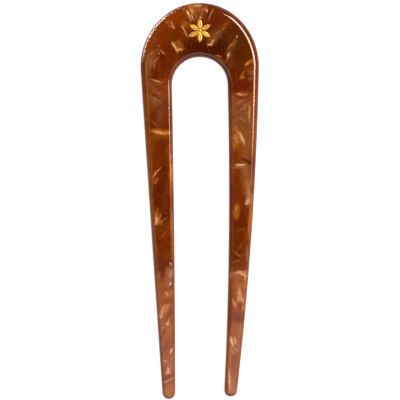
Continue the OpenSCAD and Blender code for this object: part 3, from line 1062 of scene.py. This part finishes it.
        Fleck(Tint.MAUVE, Form.STREAK, 13.0, 30.8, 2.5, 0.7, 25, 0.5),
        Fleck(Tint.MAUVE, Form.STREAK, 15.7, 26.6, 3.2, 0.8, 56, 0.55),
        Fleck(Tint.PEACH, Form.STREAK, 16.2, 28.7, 4.3, 0.9, -91, 0.7),
        Fleck(Tint.LILAC, Form.LINE, 13.4, 26.8, 3.7, 0.6, -21, 0.55),
        Fleck(Tint.MAUVE, Form.STREAK, 14.4, 25.1, 4.4, 0.9, -27, 0.5),
        Fleck(Tint.OCHRE, Form.SPOT, 11.8, 19.0, 4.6, 2.3, -70, 0.9),
        Fleck(Tint.TAN, Form.SPOT, 10.2, 17.7, 4.6, 1.3, 88, 0.5),
        Fleck(Tint.GOLD, Form.FOLD_SHEEN, 12.4, 20.9, 7.2, 2.6, -63, 1.0),
        Fleck(Tint.GOLD, Form.STREAK, 11.7, 18.7, 4.0, 1.1, 80, 0.7),
        Fleck(Tint.STRAW, Form.SPOT, 12.1, 20.0, 3.3, 1.3, -66, 0.5),
        Fleck(Tint.PEACH, Form.LINE, 13.6, 20.9, 4.5, 1.0, -66, 0.9),
        Fleck(Tint.PALE, Form.LINE, 14.0, 20.1, 3.3, 0.7, -68, 1.0),
        Fleck(Tint.AMBER, Form.SHEEN, 12.3, 16.4, 5.3, 2.6, 66, 0.7),
        Fleck(Tint.TAN, Form.STREAK, 15.4, 19.7, 6.1, 1.6, 77, 0.5),
        Fleck(Tint.DARK, Form.STREAK, 15.6, 13.0, 4.2, 1.1, -24, 0.85),
        Fleck(Tint.LILAC, Form.LINE, 15.3, 14.0, 2.6, 0.7, -27, 0.25),
        Fleck(Tint.RUSSET, Form.STREAK, 13.3, 12.2, 4.4, 0.7, 5, 0.6),
        Fleck(Tint.PALE, Form.SPOT, 13.4, 11.8, 3.0, 0.8, 2, 1.0),
        Fleck(Tint.PALE, Form.SPOT, 13.4, 11.8, 2.0, 0.6, 2, 1.0),
        Fleck(Tint.LILAC, Form.STREAK, 13.3, 11.1, 4.4, 1.0, 2, 0.6),
        Fleck(Tint.LILAC, Form.SPOT, 15.7, 9.5, 3.6, 2.2, 80, 0.4),
        Fleck(Tint.LILAC, Form.SPOT, 15.7, 5.6, 3.0, 2.4, 80, 0.8),
        Fleck(Tint.AMBER, Form.SPOT, 14.2, 4.9, 4.6, 1.3, 80, 0.6),
        Fleck(Tint.LILAC, Form.FOLD_SHEEN, 16.0, 1.8, 6.2, 2.2, 86, 0.85),
        Fleck(Tint.PEACH, Form.STREAK, 15.8, 1.5, 5.1, 0.7, -97, 0.6),
        Fleck(Tint.HONEY, Form.STREAK, 14.9, 1.9, 3.3, 0.7, -84, 0.6),
        Fleck(Tint.PALE, Form.SPOT, 15.7, -0.3, 1.8, 1.0, 62, 1.0),
        Fleck(Tint.PEACH, Form.SPOT, 16.7, 0.6, 4.6, 1.3, 86, 0.5),
        Fleck(Tint.GOLD, Form.SPOT, 12.0, -3.5, 4.6, 2.0, 84, 0.95),
        Fleck(Tint.PEACH, Form.SPOT, 11.9, -2.7, 2.0, 0.8, 84, 0.4),
        Fleck(Tint.GOLD, Form.STREAK, 16.4, -6.6, 9.9, 1.0, -93, 0.95),
        Fleck(Tint.LILAC, Form.LINE, 16.5, -4.6, 4.6, 0.6, -92, 0.6),
        Fleck(Tint.AMBER, Form.STREAK, 13.1, -9.5, 2.4, 0.9, 27, 0.7),
        Fleck(Tint.RUSSET, Form.STREAK, 13.5, -8.2, 3.3, 0.9, 7, 0.5),
        Fleck(Tint.AMBER, Form.STREAK, 14.6, -10.0, 2.2, 0.8, -47, 0.55),
        Fleck(Tint.AMBER, Form.STREAK, 13.7, -14.2, 4.8, 0.8, 57, 0.8),
        Fleck(Tint.RUSSET, Form.STREAK, 12.6, -13.3, 4.1, 1.0, 53, 0.6),
        Fleck(Tint.GOLD, Form.STREAK, 12.2, -17.4, 2.9, 0.7, -41, 0.6),
        Fleck(Tint.AMBER, Form.STREAK, 14.3, -17.6, 2.6, 0.9, 35, 0.9),
        Fleck(Tint.GOLD, Form.STREAK, 11.9, -19.7, 2.3, 0.7, 26, 0.4),
        Fleck(Tint.LILAC, Form.STREAK, 15.5, -17.4, 5.3, 0.9, -83, 0.6),
        Fleck(Tint.GOLD, Form.STREAK, 10.0, -24.5, 2.9, 0.9, 73, 0.95),
        Fleck(Tint.LILAC, Form.FOLD_SHEEN, 13.3, -25.1, 4.9, 4.3, 6, 0.95),
        Fleck(Tint.PEACH, Form.FOLD_SHEEN, 13.5, -26.9, 4.6, 3.3, -174, 0.35),
        Fleck(Tint.PALE, Form.STREAK, 13.7, -23.8, 3.0, 0.8, -25, 0.95),
        Fleck(Tint.PEACH, Form.LINE, 13.3, -23.5, 4.5, 0.7, 3, 0.7),
        Fleck(Tint.PEACH, Form.LINE, 14.8, -25.0, 3.0, 0.7, -77, 0.6),
        Fleck(Tint.AMBER, Form.STREAK, 10.7, -31.9, 9.1, 1.4, -90, 0.8),
        Fleck(Tint.MAUVE, Form.STREAK, 12.2, -29.6, 3.3, 1.0, -79, 0.6),
        Fleck(Tint.PALE, Form.WEDGE, 13.1, -30.6, 4.9, 2.1, -84, 0.95),
        Fleck(Tint.PEACH, Form.SPOT, 12.7, -29.7, 2.0, 1.3, 60, 0.7),
        Fleck(Tint.PEACH, Form.STREAK, 11.2, -33.5, 2.9, 0.7, -70, 0.8),
        Fleck(Tint.GOLD, Form.LINE, 11.9, -33.5, 2.3, 0.7, -80, 0.6),
        Fleck(Tint.PEACH, Form.LINE, 14.2, -34.8, 2.0, 0.7, -105, 0.75),
        Fleck(Tint.MAUVE, Form.STREAK, 13.1, -34.1, 4.1, 1.4, -87, 0.7),
        Fleck(Tint.MAUVE, Form.PATCH, 12.6, -38.0, 4.9, 3.4, -6, 1.0),
        Fleck(Tint.RUSSET, Form.SPOT, 13.3, -38.6, 3.9, 1.2, -6, 0.6),
        Fleck(Tint.EMBER, Form.STREAK, 10.0, -36.5, 14.4, 1.1, -91, 0.75),
        Fleck(Tint.LILAC, Form.SPOT, 13.2, -42.5, 3.6, 2.0, 85, 0.45),
        Fleck(Tint.LILAC, Form.PATCH, 11.4, -47.1, 4.3, 3.3, -62, 0.6),
        Fleck(Tint.PALE, Form.STREAK, 10.5, -45.9, 3.0, 0.8, -70, 1.0),
        Fleck(Tint.PALE, Form.LINE, 11.6, -45.9, 2.5, 0.5, -70, 0.9),
        Fleck(Tint.PEACH, Form.LINE, 12.4, -46.2, 2.1, 0.5, -72, 0.7),
        Fleck(Tint.SIENNA, Form.LINE, 11.2, -46.0, 2.8, 0.4, -71, 0.6),
        Fleck(Tint.MAUVE, Form.LINE, 12.0, -47.0, 2.3, 0.6, 58, 0.5),
        Fleck(Tint.PEACH, Form.LINE, 10.8, -49.3, 2.7, 0.7, -58, 0.6),
        Fleck(Tint.PEACH, Form.LINE, 11.8, -48.6, 2.3, 0.6, -58, 0.6),
        Fleck(Tint.RUSSET, Form.SPOT, 11.4, -51.9, 4.6, 2.0, 88, 0.4),
        Fleck(Tint.GOLD, Form.STREAK, 9.6, -56.5, 12.5, 1.2, -91, 0.95),
        Fleck(Tint.PALE, Form.LINE, 9.7, -58.6, 7.6, 0.7, -87, 0.85),
        Fleck(Tint.LILAC, Form.SHEEN, 10.9, -59.8, 6.6, 2.3, -88, 0.9),
        Fleck(Tint.AMBER, Form.SPOT, 10.7, -55.3, 3.9, 2.3, 88, 0.6),
        Fleck(Tint.RUST, Form.SPOT, 10.4, -63.6, 3.0, 1.3, 0, 0.7),
        Fleck(Tint.RUST, Form.STREAK, 8.8, -59.8, 7.2, 0.9, -89, 0.6),
    ),
}


@dataclass(frozen=True)
class PearlAcetate:
    """Cellulose acetate cut from a marbled block, tumble polished, with pearl flakes in the brown.

    The flakes lie at chance angles, so each shows as a soft-edged sheet of golden light with fine
    creases, over a deep red-brown ground. That light is partly pale pearl and partly painted glint,
    set in the colour; the flakes' slight metal and lean add a real glint that shifts as the pin
    turns. The polish gives a clear, tight gloss over all of it.
    Sizes are in millimetres. The fibres are drawn at half a millimetre, and the pits at 0.7, which
    is coarser than they are, so that they show.
    """

    light_brown: str = "#88390a"
    deep_brown: str = "#782d04"
    depth: float = 0.565
    stain_size: float = 14.0
    foil_size: float = 5.5
    foil_blend: float = 0.18
    foil_bend: float = 9.0
    foil_slope: float = 1.6
    foil_lean: float = 0.22
    flake_corner: float = 0.25
    fibre_size: float = 0.5
    drift_size: float = 5.0
    speck_size: float = 0.8
    rag_size: float = 1.6
    rag_reach: float = 1.1
    back_below: float = 1.4
    back_shift: float = 7.0
    wait: float = 1e-9
    drifts: Veil = Veil("#964e10", 0.5, 0.74, 0.32)
    # Painted sheen: the foil cells are painted brighter towards one side, as if lit from there
    glow: Veil = Veil("#a45c1a", 0.2, 0.75, 0.35)
    sunk: Veil = Veil("#4c1a02", 0.55, 0.9, 0.35)
    light_fibres: Veil = Veil("#b0641e", 0.5, 0.72, 0.26)
    dark_fibres: Veil = Veil("#541f04", 0.46, 0.28, 0.3)
    # Painted edge light: the rounded edge is painted one orange brown by how upright it is
    painted_edge_light: Veil = Veil("#9a4c10", 0.97, 0.6, 0.4)
    wave_size: float = 9.0
    wave_height: float = 0.006
    pit_size: float = 0.7
    # Out from the middle towards the crown's left shoulder, the polish is rougher: each pair below
    # gives a value before the shoulder and one on it, and flatness runs from 0 upright to 1 level
    shoulder_way: tuple[float, float, float] = (-0.8, 0.6, 0.0)
    shoulder: tuple[float, float] = (41.0, 43.5)
    pit_depth: tuple[float, float] = (0.015, 0.21)
    worn_from_flatness: tuple[float, float] = (0.93, 0.998)
    worn_by_flatness: tuple[float, float] = (0.7, 0.93)

    def flat_place(self, tree: NodeTree, place: Source) -> Node:
        """Adds the nodes for the place on the face that a point's flakes are read from.

        The back face reads the same table turned left for right and shifted along the legs, so that
        its flakes aren't those of the front seen through the sheet.

        Args:
            tree: The material's tree.
            place: The place in millimetres.

        Returns:
            A node that gives x and y, and z at 0.
        """
        parts = add(tree, "ShaderNodeSeparateXYZ", {0: place})
        is_back = add(tree, "ShaderNodeMath", {0: parts.outputs["Z"], 1: self.back_below}, operation="LESS_THAN")
        mirrored = add(tree, "ShaderNodeVectorMath", {
            0: place, 1: (-1.0, 1.0, 0.0), 2: (0.0, self.back_shift, 0.0)}, operation="MULTIPLY_ADD")
        flat = add(tree, "ShaderNodeVectorMath", {0: place, 1: (1.0, 1.0, 0.0)}, operation="MULTIPLY")
        return add(tree, "ShaderNodeMix", {"Factor": is_back, "A": flat, "B": mirrored}, data_type="VECTOR")

    def as_vector(self, tree: NodeTree, pattern: Node) -> Node:
        """Adds the nodes that turn a pattern's colour into a vector.

        Cycles puts a conversion of its own after all other nodes, so that every flake would wait for
        it on the stack.

        Args:
            tree: The material's tree.
            pattern: The node that gives the colour.

        Returns:
            A node that gives the vector.
        """
        shares = add(tree, "ShaderNodeSeparateColor", {0: pattern.outputs["Color"]})
        return add(tree, "ShaderNodeCombineXYZ", {i: shares.outputs[i] for i in range(3)})

    def fleck_mask(self, tree: NodeTree, place: Source, fleck: Fleck) -> Node:
        """Adds the nodes for one flake.

        Args:
            tree: The material's tree.
            place: The place on the face.
            fleck: The flake.

        Returns:
            A node that gives the flake's strength inside it and 0 outside.
        """
        square, taper, soft, fade, fall = fleck.form.value
        rim = {"From Min": 1.0 + soft / 2, "From Max": 1.0 - soft / 2, "To Max": fleck.strength}
        turn = -math.radians(fleck.turn)
        level = add(tree, "ShaderNodeVectorRotate", {
            "Vector": place, "Center": (fleck.x, fleck.y, 0.0), "Angle": turn}, rotation_type="Z_AXIS")
        shrink = (2 / fleck.long, 2 / fleck.wide, 0.0)
        shift = (-fleck.x * shrink[0], -fleck.y * shrink[1], 0.0)
        local = add(tree, "ShaderNodeVectorMath", {0: level, 1: shrink, 2: shift}, operation="MULTIPLY_ADD")
        if not square:
            reach = add(tree, "ShaderNodeVectorMath", {0: local}, operation="LENGTH")
            return add(tree, "ShaderNodeMapRange", {"Value": reach, **rim}, **SMOOTH)

        along = add(tree, "ShaderNodeVectorMath", {0: local, 1: (1.0, 0.0, 0.0)}, operation="DOT_PRODUCT")
        across = add(tree, "ShaderNodeVectorMath", {0: local, 1: (0.0, 1.0, 0.0)}, operation="DOT_PRODUCT")
        width = across
        if taper:
            room = add(tree, "ShaderNodeMath", {0: along, 1: taper / 2, 2: 1.0 - taper / 2}, operation="MULTIPLY_ADD")
            width = add(tree, "ShaderNodeMath", {0: across, 1: room}, operation="DIVIDE")
        far_along = add(tree, "ShaderNodeMath", {0: along}, operation="ABSOLUTE")
        far_across = add(tree, "ShaderNodeMath", {0: width}, operation="ABSOLUTE")
        reach = add(tree, "ShaderNodeMath", {
            0: far_along, 1: far_across, 2: self.flake_corner}, operation="SMOOTH_MAX")
        inside = add(tree, "ShaderNodeMapRange", {"Value": reach, **rim}, **SMOOTH)
        if not (fade or fall):
            return inside
        # In a sheen and in a fold, this fade is painted sheen: brighter at the end or side that catches the light
        slope = add(tree, "ShaderNodeMapRange", {
            "Value": across if fall else along, "From Min": -1.0, "To Min": 1.0 - (fade or fall)}, **SMOOTH)
        return add(tree, "ShaderNodeMath", {0: inside, 1: slope}, operation="MULTIPLY")

    def flake_sheet(self, name: str, flecks: tuple[Fleck, ...]) -> NodeTree:
        """Builds the group that lays one region's flakes over the colour that it is given.

        Args:
            name: The region's name.
            flecks: Its flakes, in the order that they are laid.

        Returns:
            The group, with the sockets Place, Grain and Colour, and Colour going out.
        """
        tree = bpy.data.node_groups.new(name, "ShaderNodeTree")
        for socket, kind in (("Place", "Vector"), ("Grain", "Float"), ("Colour", "Color")):
            tree.interface.new_socket(socket, in_out="INPUT", socket_type=f"NodeSocket{kind}")
        tree.interface.new_socket("Colour", in_out="OUTPUT", socket_type="NodeSocketColor")
        given = add(tree, "NodeGroupInput").outputs
        colour = given["Colour"]
        for fleck in flecks:
            mask = self.fleck_mask(tree, given["Place"], fleck)
            if fleck.shows_grain():
                mask = add(tree, "ShaderNodeMath", {0: mask, 1: given["Grain"]}, operation="MULTIPLY")
            colour = add(tree, "ShaderNodeMix", {
                "Factor": mask, "A": colour, "B": linear(fleck.tint.value)}, data_type="RGBA")
        add(tree, "NodeGroupOutput", {0: colour})
        return tree

    def polish(self, tree: NodeTree, place: Source, flatness: Source) -> Node:
        """Adds the nodes for the polish: a faint waviness on the faces, and a rougher one at the edge.

        Args:
            tree: The material's tree.
            place: The place in millimetres.
            flatness: How level the surface is, from 0 to 1.

        Returns:
            A node that gives the polish's normal.
        """
        wave = add(tree, "ShaderNodeTexNoise", {0: place, "Scale": 1 / self.wave_size, "Detail": 0.0})
        waves = add(tree, "ShaderNodeBump", {"Strength": 1.0, "Distance": self.wave_height * MM, "Height": wave})
        pits = add(tree, "ShaderNodeTexNoise", {0: place, "Scale": 1 / self.pit_size, "Detail": 2.0})
        side = add(tree, "ShaderNodeVectorMath", {0: place, 1: self.shoulder_way}, operation="DOT_PRODUCT")
        pitted, start, full = (
            add(tree, "ShaderNodeMapRange", {
                "Value": side, "From Min": self.shoulder[0], "From Max": self.shoulder[1],
                "To Min": low, "To Max": high})
            for low, high in (
                (self.pit_depth[0] * MM, self.pit_depth[1] * MM), self.worn_from_flatness, self.worn_by_flatness)
        )
        worn = add(tree, "ShaderNodeMapRange", {"Value": flatness, "From Min": start, "From Max": full}, **SMOOTH)
        return add(tree, "ShaderNodeBump", {"Strength": worn, "Distance": pitted, "Height": pits, "Normal": waves})

    def make(self) -> Material:
        """Builds the material.

        Returns:
            The material.
        """
        material, tree = new_material("pearl cellulose acetate, tumble polished")
        coords = add(tree, "ShaderNodeTexCoord")
        place = add(tree, "ShaderNodeVectorMath", {0: coords.outputs["Object"], "Scale": 1 / MM}, operation="SCALE")

        # Slow and fine wandering, which makes the flakes' rims ragged
        slow = add(tree, "ShaderNodeTexNoise", {0: place, "Scale": 1 / self.stain_size, "Detail": 2.0})
        bent = add(tree, "ShaderNodeVectorMath", {
            0: self.as_vector(tree, slow), 1: (self.foil_bend,) * 3, 2: place}, operation="MULTIPLY_ADD")
        fine = add(tree, "ShaderNodeTexNoise", {
            0: place, "Scale": 1 / self.rag_size, "Detail": 3.0, "Roughness": 0.6})
        push = add(tree, "ShaderNodeVectorMath", {
            0: self.as_vector(tree, fine), 1: (0.5, 0.5, 0.5)}, operation="SUBTRACT")
        ragged = add(tree, "ShaderNodeVectorMath", {
            0: push, 1: (self.rag_reach,) * 3, 2: place}, operation="MULTIPLY_ADD")
        face = self.flat_place(tree, ragged)

        # Crumpled foil: soft-edged cells with a chance tone each, and each painted brighter towards one side: painted
        # sheen, as if the cell caught the light there
        foil = add(tree, "ShaderNodeTexVoronoi", {
            0: bent, "Scale": 1 / self.foil_size, "Smoothness": self.foil_blend}, feature="SMOOTH_F1")
        shade = add(tree, "ShaderNodeSeparateColor", {0: foil.outputs["Color"]})
        off = add(tree, "ShaderNodeVectorMath", {0: bent, 1: foil.outputs["Position"]}, operation="SUBTRACT")
        heading = add(tree, "ShaderNodeVectorMath", {
            0: self.as_vector(tree, foil), 1: (0.5, 0.5, 0.5)}, operation="SUBTRACT")
        tilt = add(tree, "ShaderNodeVectorMath", {0: off, 1: heading}, operation="DOT_PRODUCT")
        slope = add(tree, "ShaderNodeMapRange", {
            "Value": tilt, "From Min": -self.foil_slope, "From Max": self.foil_slope}, **SMOOTH)

        # Fine fibres in the foil, which run a way of their own in each cell
        angle = add(tree, "ShaderNodeMath", {0: shade.outputs["Green"], 1: math.pi}, operation="MULTIPLY")
        lined_up = add(tree, "ShaderNodeVectorRotate", {"Vector": bent, "Angle": angle}, rotation_type="Z_AXIS")
        drawn = add(tree, "ShaderNodeVectorMath", {0: lined_up, 1: (0.2, 1.0, 0.5)}, operation="MULTIPLY")
        fibre = add(tree, "ShaderNodeTexNoise", {
            0: drawn, "Scale": 1 / self.fibre_size, "Detail": 3.0, "Roughness": 0.6})

        # Ground: two browns by the slow stain, drifting clouds of pearl, then the foil's painted sheen and its darker
        # cells
        stain = add(tree, "ShaderNodeMapRange", {"Value": slow, "From Min": 0.38, "From Max": 0.62}, **SMOOTH)
        ground = add(tree, "ShaderNodeMix", {
            "Factor": stain, "A": linear(self.deep_brown), "B": linear(self.light_brown)}, data_type="RGBA")
        drift = add(tree, "ShaderNodeTexNoise", {
            0: place, "Scale": 1 / self.drift_size, "Detail": 4.0, "Roughness": 0.62, "Distortion": 1.3})
        ground = self.drifts.over(tree, drift, ground)
        painted_sheen = add(tree, "ShaderNodeMath", {0: shade.outputs["Red"], 1: slope}, operation="MULTIPLY")
        ground = self.glow.over(tree, painted_sheen, ground)
        ground = self.sunk.over(tree, shade.outputs["Blue"], ground)

        # Grain: the fibres' strands and a fine speckle, which show in the flakes
        strands = add(tree, "ShaderNodeMapRange", {
            "Value": fibre, "From Min": 0.32, "From Max": 0.62, "To Min": 0.62, "To Max": 1.08}, **SMOOTH)
        specks = add(tree, "ShaderNodeTexNoise", {
            0: place, "Scale": 1 / self.speck_size, "Detail": 3.0, "Roughness": 0.6})
        speckle = add(tree, "ShaderNodeMapRange", {
            "Value": specks, "From Min": 0.36, "From Max": 0.6, "To Min": 0.68, "To Max": 1.08}, **SMOOTH)
        grain = add(tree, "ShaderNodeMath", {0: strands, 1: speckle}, operation="MULTIPLY")

        # The flakes' place waits for the finished ground and grain, by a share of them too small to
        # move it. Cycles then works those out first, and its stack has room for the flakes.
        for finished in (ground, grain):
            face = add(tree, "ShaderNodeVectorMath", {
                0: finished, 1: (self.wait,) * 3, 2: face}, operation="MULTIPLY_ADD")

        # Flakes and stains by the table, then fibres over all
        colour = ground
        for name, flecks in FLECKS.items():
            sheet = self.flake_sheet(name, flecks)
            colour = add(tree, "ShaderNodeGroup", {0: face, 1: grain, 2: colour}, node_tree=sheet)
        colour = self.light_fibres.over(tree, fibre, colour)
        colour = self.dark_fibres.over(tree, fibre, colour)

        # The rounded edge is painted over with one orange brown, lighter than most of the ground, by how upright it
        # is: partly the flakes blurring as the edge bends the view along the sheet, partly painted light shining
        # through the edge
        upright = add(tree, "ShaderNodeSeparateXYZ", {0: coords.outputs["Normal"]})
        flatness = add(tree, "ShaderNodeMath", {0: upright.outputs["Z"]}, operation="ABSOLUTE")
        colour = self.painted_edge_light.over(tree, flatness, colour)
        deep = add(tree, "ShaderNodeMix", {
            "Factor": 1.0, "A": colour, "B": (*(self.depth,) * 3, 1.0)}, data_type="RGBA", blend_type="MULTIPLY")
        polish = self.polish(tree, place, flatness)

        # Flakes tilt with their cell, so their glint shifts as the pin turns
        lean = add(tree, "ShaderNodeVectorMath", {0: heading, "Scale": self.foil_lean}, operation="SCALE")
        level = add(tree, "ShaderNodeNewGeometry")
        leaned = add(tree, "ShaderNodeVectorMath", {0: lean, 1: level.outputs["Normal"]}, operation="ADD")
        glint = add(tree, "ShaderNodeVectorMath", {0: leaned}, operation="NORMALIZE")
        light = add(tree, "ShaderNodeRGBToBW", {0: colour})
        metal = add(tree, "ShaderNodeMapRange", {
            "Value": light, "From Min": 0.04, "From Max": 0.5, "To Min": 0.03, "To Max": 0.3}, **SMOOTH)
        shader = add(tree, "ShaderNodeBsdfPrincipled", {
            "Base Color": deep,
            "Metallic": metal,
            "Roughness": 0.5,
            "IOR": 1.48,
            "Specular IOR Level": 0.0,
            "Normal": glint,
            "Coat Weight": 1.0,
            "Coat Roughness": 0.035,
            "Coat IOR": 1.48,
            "Coat Normal": polish,
        })
        add(tree, "ShaderNodeOutputMaterial", {0: shader})
        return material


@dataclass(frozen=True)
class GiltBrass:
    """Stamped brass with a thin gold plating, softly polished.

    The plating gives a warm, even yellow. Handling leaves fine scratches that blur its glints, and a
    browner tone where the plating has thinned. Sizes are in millimetres.
    """

    plating: str = "#c69c49"
    thin_plating: str = "#9f732e"
    roughness: tuple[float, float] = (0.32, 0.48)
    wear_size: float = 1.3
    scratch_size: float = 0.16
    scratch_depth: float = 0.01

    def make(self) -> Material:
        """Builds the material.

        Returns:
            The material.
        """
        material, tree = new_material("gold-plated brass, softly polished")
        coords = add(tree, "ShaderNodeTexCoord")
        place = add(tree, "ShaderNodeVectorMath", {0: coords.outputs["Object"], "Scale": 1 / MM}, operation="SCALE")
        wear = add(tree, "ShaderNodeTexNoise", {0: place, "Scale": 1 / self.wear_size, "Detail": 3.0})
        tone = add(tree, "ShaderNodeMapRange", {"Value": wear, "From Min": 0.4, "From Max": 0.7})
        colour = add(tree, "ShaderNodeMix", {
            "Factor": tone, "A": linear(self.plating), "B": linear(self.thin_plating)}, data_type="RGBA")
        drawn = add(tree, "ShaderNodeVectorMath", {0: place, 1: (1.0, 0.2, 1.0)}, operation="MULTIPLY")
        scratch = add(tree, "ShaderNodeTexNoise", {0: drawn, "Scale": 1 / self.scratch_size, "Detail": 2.0})
        blur = add(tree, "ShaderNodeMapRange", {
            "Value": scratch, "From Min": 0.3, "From Max": 0.7,
            "To Min": self.roughness[0], "To Max": self.roughness[1]})
        dents = add(tree, "ShaderNodeBump", {
            "Strength": 0.3, "Distance": self.scratch_depth * MM, "Height": scratch})
        shader = add(tree, "ShaderNodeBsdfPrincipled", {
            "Base Color": colour, "Metallic": 1.0, "Roughness": blur, "Normal": dents})
        add(tree, "ShaderNodeOutputMaterial", {0: shader})
        return material


# Studio


@dataclass(frozen=True)
class SoftBox:
    """A softbox: the rectangle that it fills, in metres, how bright it is, and what it lights.

    The rectangle faces straight down, turned by some degrees, unless a place to aim at is given.
    One for gloss only shows in the polish and adds no light to the colours.
    """

    name: str
    middle: tuple[float, float, float]
    size: tuple[float, float]
    radiance: float
    colour: str
    turn: float = 0.0
    aim: tuple[float, float, float] | None = None
    gloss_only: bool = False

    def place(self) -> None:
        """Sets the softbox up."""
        lamp = bpy.data.lights.new(self.name, "AREA")
        lamp.shape = "RECTANGLE"
        lamp.size, lamp.size_y = self.size
        lamp.energy = self.radiance * math.pi * self.size[0] * self.size[1]
        lamp.color = linear(self.colour)[:3]
        light = bpy.data.objects.new(self.name, lamp)
        light.location = self.middle
        light.rotation_euler = (0.0, 0.0, math.radians(self.turn))
        light.visible_diffuse = not self.gloss_only
        if self.aim:
            light.rotation_euler = (Vector(self.aim) - Vector(self.middle)).to_track_quat("-Z", "Y").to_euler()
        bpy.context.scene.collection.objects.link(light)


@dataclass(frozen=True)
class Studio:
    """A light table, the room's light, the softboxes and the camera straight above the pin.

    The camera's sizes are in millimetres. The pin lies on a lit sheet of opal acrylic, whose glow
    leaves hardly any shadow round it.
    """

    frame_width: float = 131.3
    frame_middle: tuple[float, float] = (0.07, 0.31)
    sheet_middle: float = 2.0
    lens: float = 150.0
    sensor: float = 36.0
    table_reach: float = 3000.0
    table_gap: float = 0.05
    table_colour: str = "#8f8d8b"
    table_glow: float = 0.9
    left_light: float = 0.4
    right_light: float = 0.75
    tip_light: float = 1.6
    # Where each light of the room ends, by a part of the direction towards it, from -1 to 1
    left_to_right: tuple[float, float] = (-0.6, 0.6)
    ceiling_to_walls: tuple[float, float] = (0.65, 0.2)
    crown_to_tips: tuple[float, float] = (-0.02, -0.13)
    panel_foot_to_top: tuple[float, float] = (0.6, 0.9)
    panel_foot_share: float = 0.25
    softboxes: tuple[SoftBox, ...] = (
        SoftBox("key", (0.45, 0.305, 0.8), (0.57, 0.31), 24.5, "#ffe4d2", turn=-52.0),
        SoftBox("left_fill", (-0.3, 0.04, 0.8), (0.12, 0.2), 2.6, "#ffdcc0"),
        SoftBox("rim", (-0.5, 0.42, 0.18), (0.5, 0.27), 24.0, "#fff0e2", aim=(0.0, 0.045, 0.0), gloss_only=True),
    )

    def camera(self) -> None:
        """Places the camera and makes it the scene's own."""
        data = bpy.data.cameras.new("camera")
        data.lens, data.sensor_width = self.lens, self.sensor
        data.dof.use_dof = False
        camera = bpy.data.objects.new("camera", data)
        reach = self.frame_width * self.lens / self.sensor
        camera.location = Vector((*self.frame_middle, self.sheet_middle + reach)) * MM
        bpy.context.scene.collection.objects.link(camera)
        bpy.context.scene.camera = camera

    def table(self) -> None:
        """Lays the light table, which is the floor."""
        mesh = bpy.data.meshes.new("floor")
        corners = [(-1, -1), (1, -1), (1, 1), (-1, 1)]
        reach, height = self.table_reach * MM, -self.table_gap * MM
        mesh.from_pydata([(x * reach, y * reach, height) for x, y in corners], [], [(0, 1, 2, 3)])
        material, tree = new_material("opal acrylic of a light table, lit from below")
        shader = add(tree, "ShaderNodeBsdfPrincipled", {
            "Base Color": linear(self.table_colour),
            "Roughness": 0.9,
            "Specular IOR Level": 0.0,
            "Emission Color": linear("#ffffff"),
            "Emission Strength": self.table_glow,
        })
        add(tree, "ShaderNodeOutputMaterial", {0: shader})
        mesh.materials.append(material)
        new_object("floor", mesh)

    def room(self) -> None:
        """Lights the room: bright walls, a dark ceiling, and a pale panel above the tips' end."""
        world = bpy.data.worlds.new("studio")
        world.use_nodes = True
        tree = world.node_tree
        tree.nodes.clear()
        coords = add(tree, "ShaderNodeTexCoord")
        way = add(tree, "ShaderNodeSeparateXYZ", {0: coords.outputs["Generated"]}).outputs
        parts = (
            (way["X"], self.left_to_right, self.left_light, self.right_light, SMOOTH),
            (way["Z"], self.ceiling_to_walls, 0.0, 1.0, SMOOTH),
            (way["Y"], self.crown_to_tips, 0.0, self.tip_light, SMOOTH),
            (way["Z"], self.panel_foot_to_top, self.panel_foot_share, 1.0, {}),
        )
        side, low, panel, above = (
            add(tree, "ShaderNodeMapRange", {
                "Value": part, "From Min": ends[0], "From Max": ends[1], "To Min": first, "To Max": last}, **settings)
            for part, ends, first, last, settings in parts
        )
        walls = add(tree, "ShaderNodeMath", {0: side, 1: low}, operation="MULTIPLY")
        lit = add(tree, "ShaderNodeMath", {0: panel, 1: above}, operation="MULTIPLY")
        total = add(tree, "ShaderNodeMath", {0: walls, 1: lit}, operation="MAXIMUM")
        back = add(tree, "ShaderNodeBackground", {"Color": linear("#ffffff"), "Strength": total})
        add(tree, "ShaderNodeOutputWorld", {0: back})
        bpy.context.scene.world = world

    def build(self) -> None:
        """Sets up the whole studio."""
        self.camera()
        self.table()
        self.room()
        for box in self.softboxes:
            box.place()
        view = bpy.context.scene.view_settings
        view.view_transform, view.look, view.exposure, view.gamma = "Standard", "None", 0.0, 1.0


def main() -> None:
    """Builds the studio and the pieces, and reports each piece."""
    logging.basicConfig(level=logging.INFO, format="%(name)s: %(message)s")
    Studio().build()
    plan = RosetteOutline()
    pieces = (
        (PinBody(PinOutline(), plan).build(PearlAcetate().make()), "pin_body", "pearl_acetate"),
        (GiltRosette(plan).build(GiltBrass().make()), "gilt_rosette", "gilt_metal"),
    )
    for piece, node, slot in pieces:
        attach(piece, "root")
        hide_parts(node)
        log.info("%s: %d vertices, %d faces", piece.name, len(piece.data.vertices), len(piece.data.polygons))


if __name__ == "__main__":
    main()
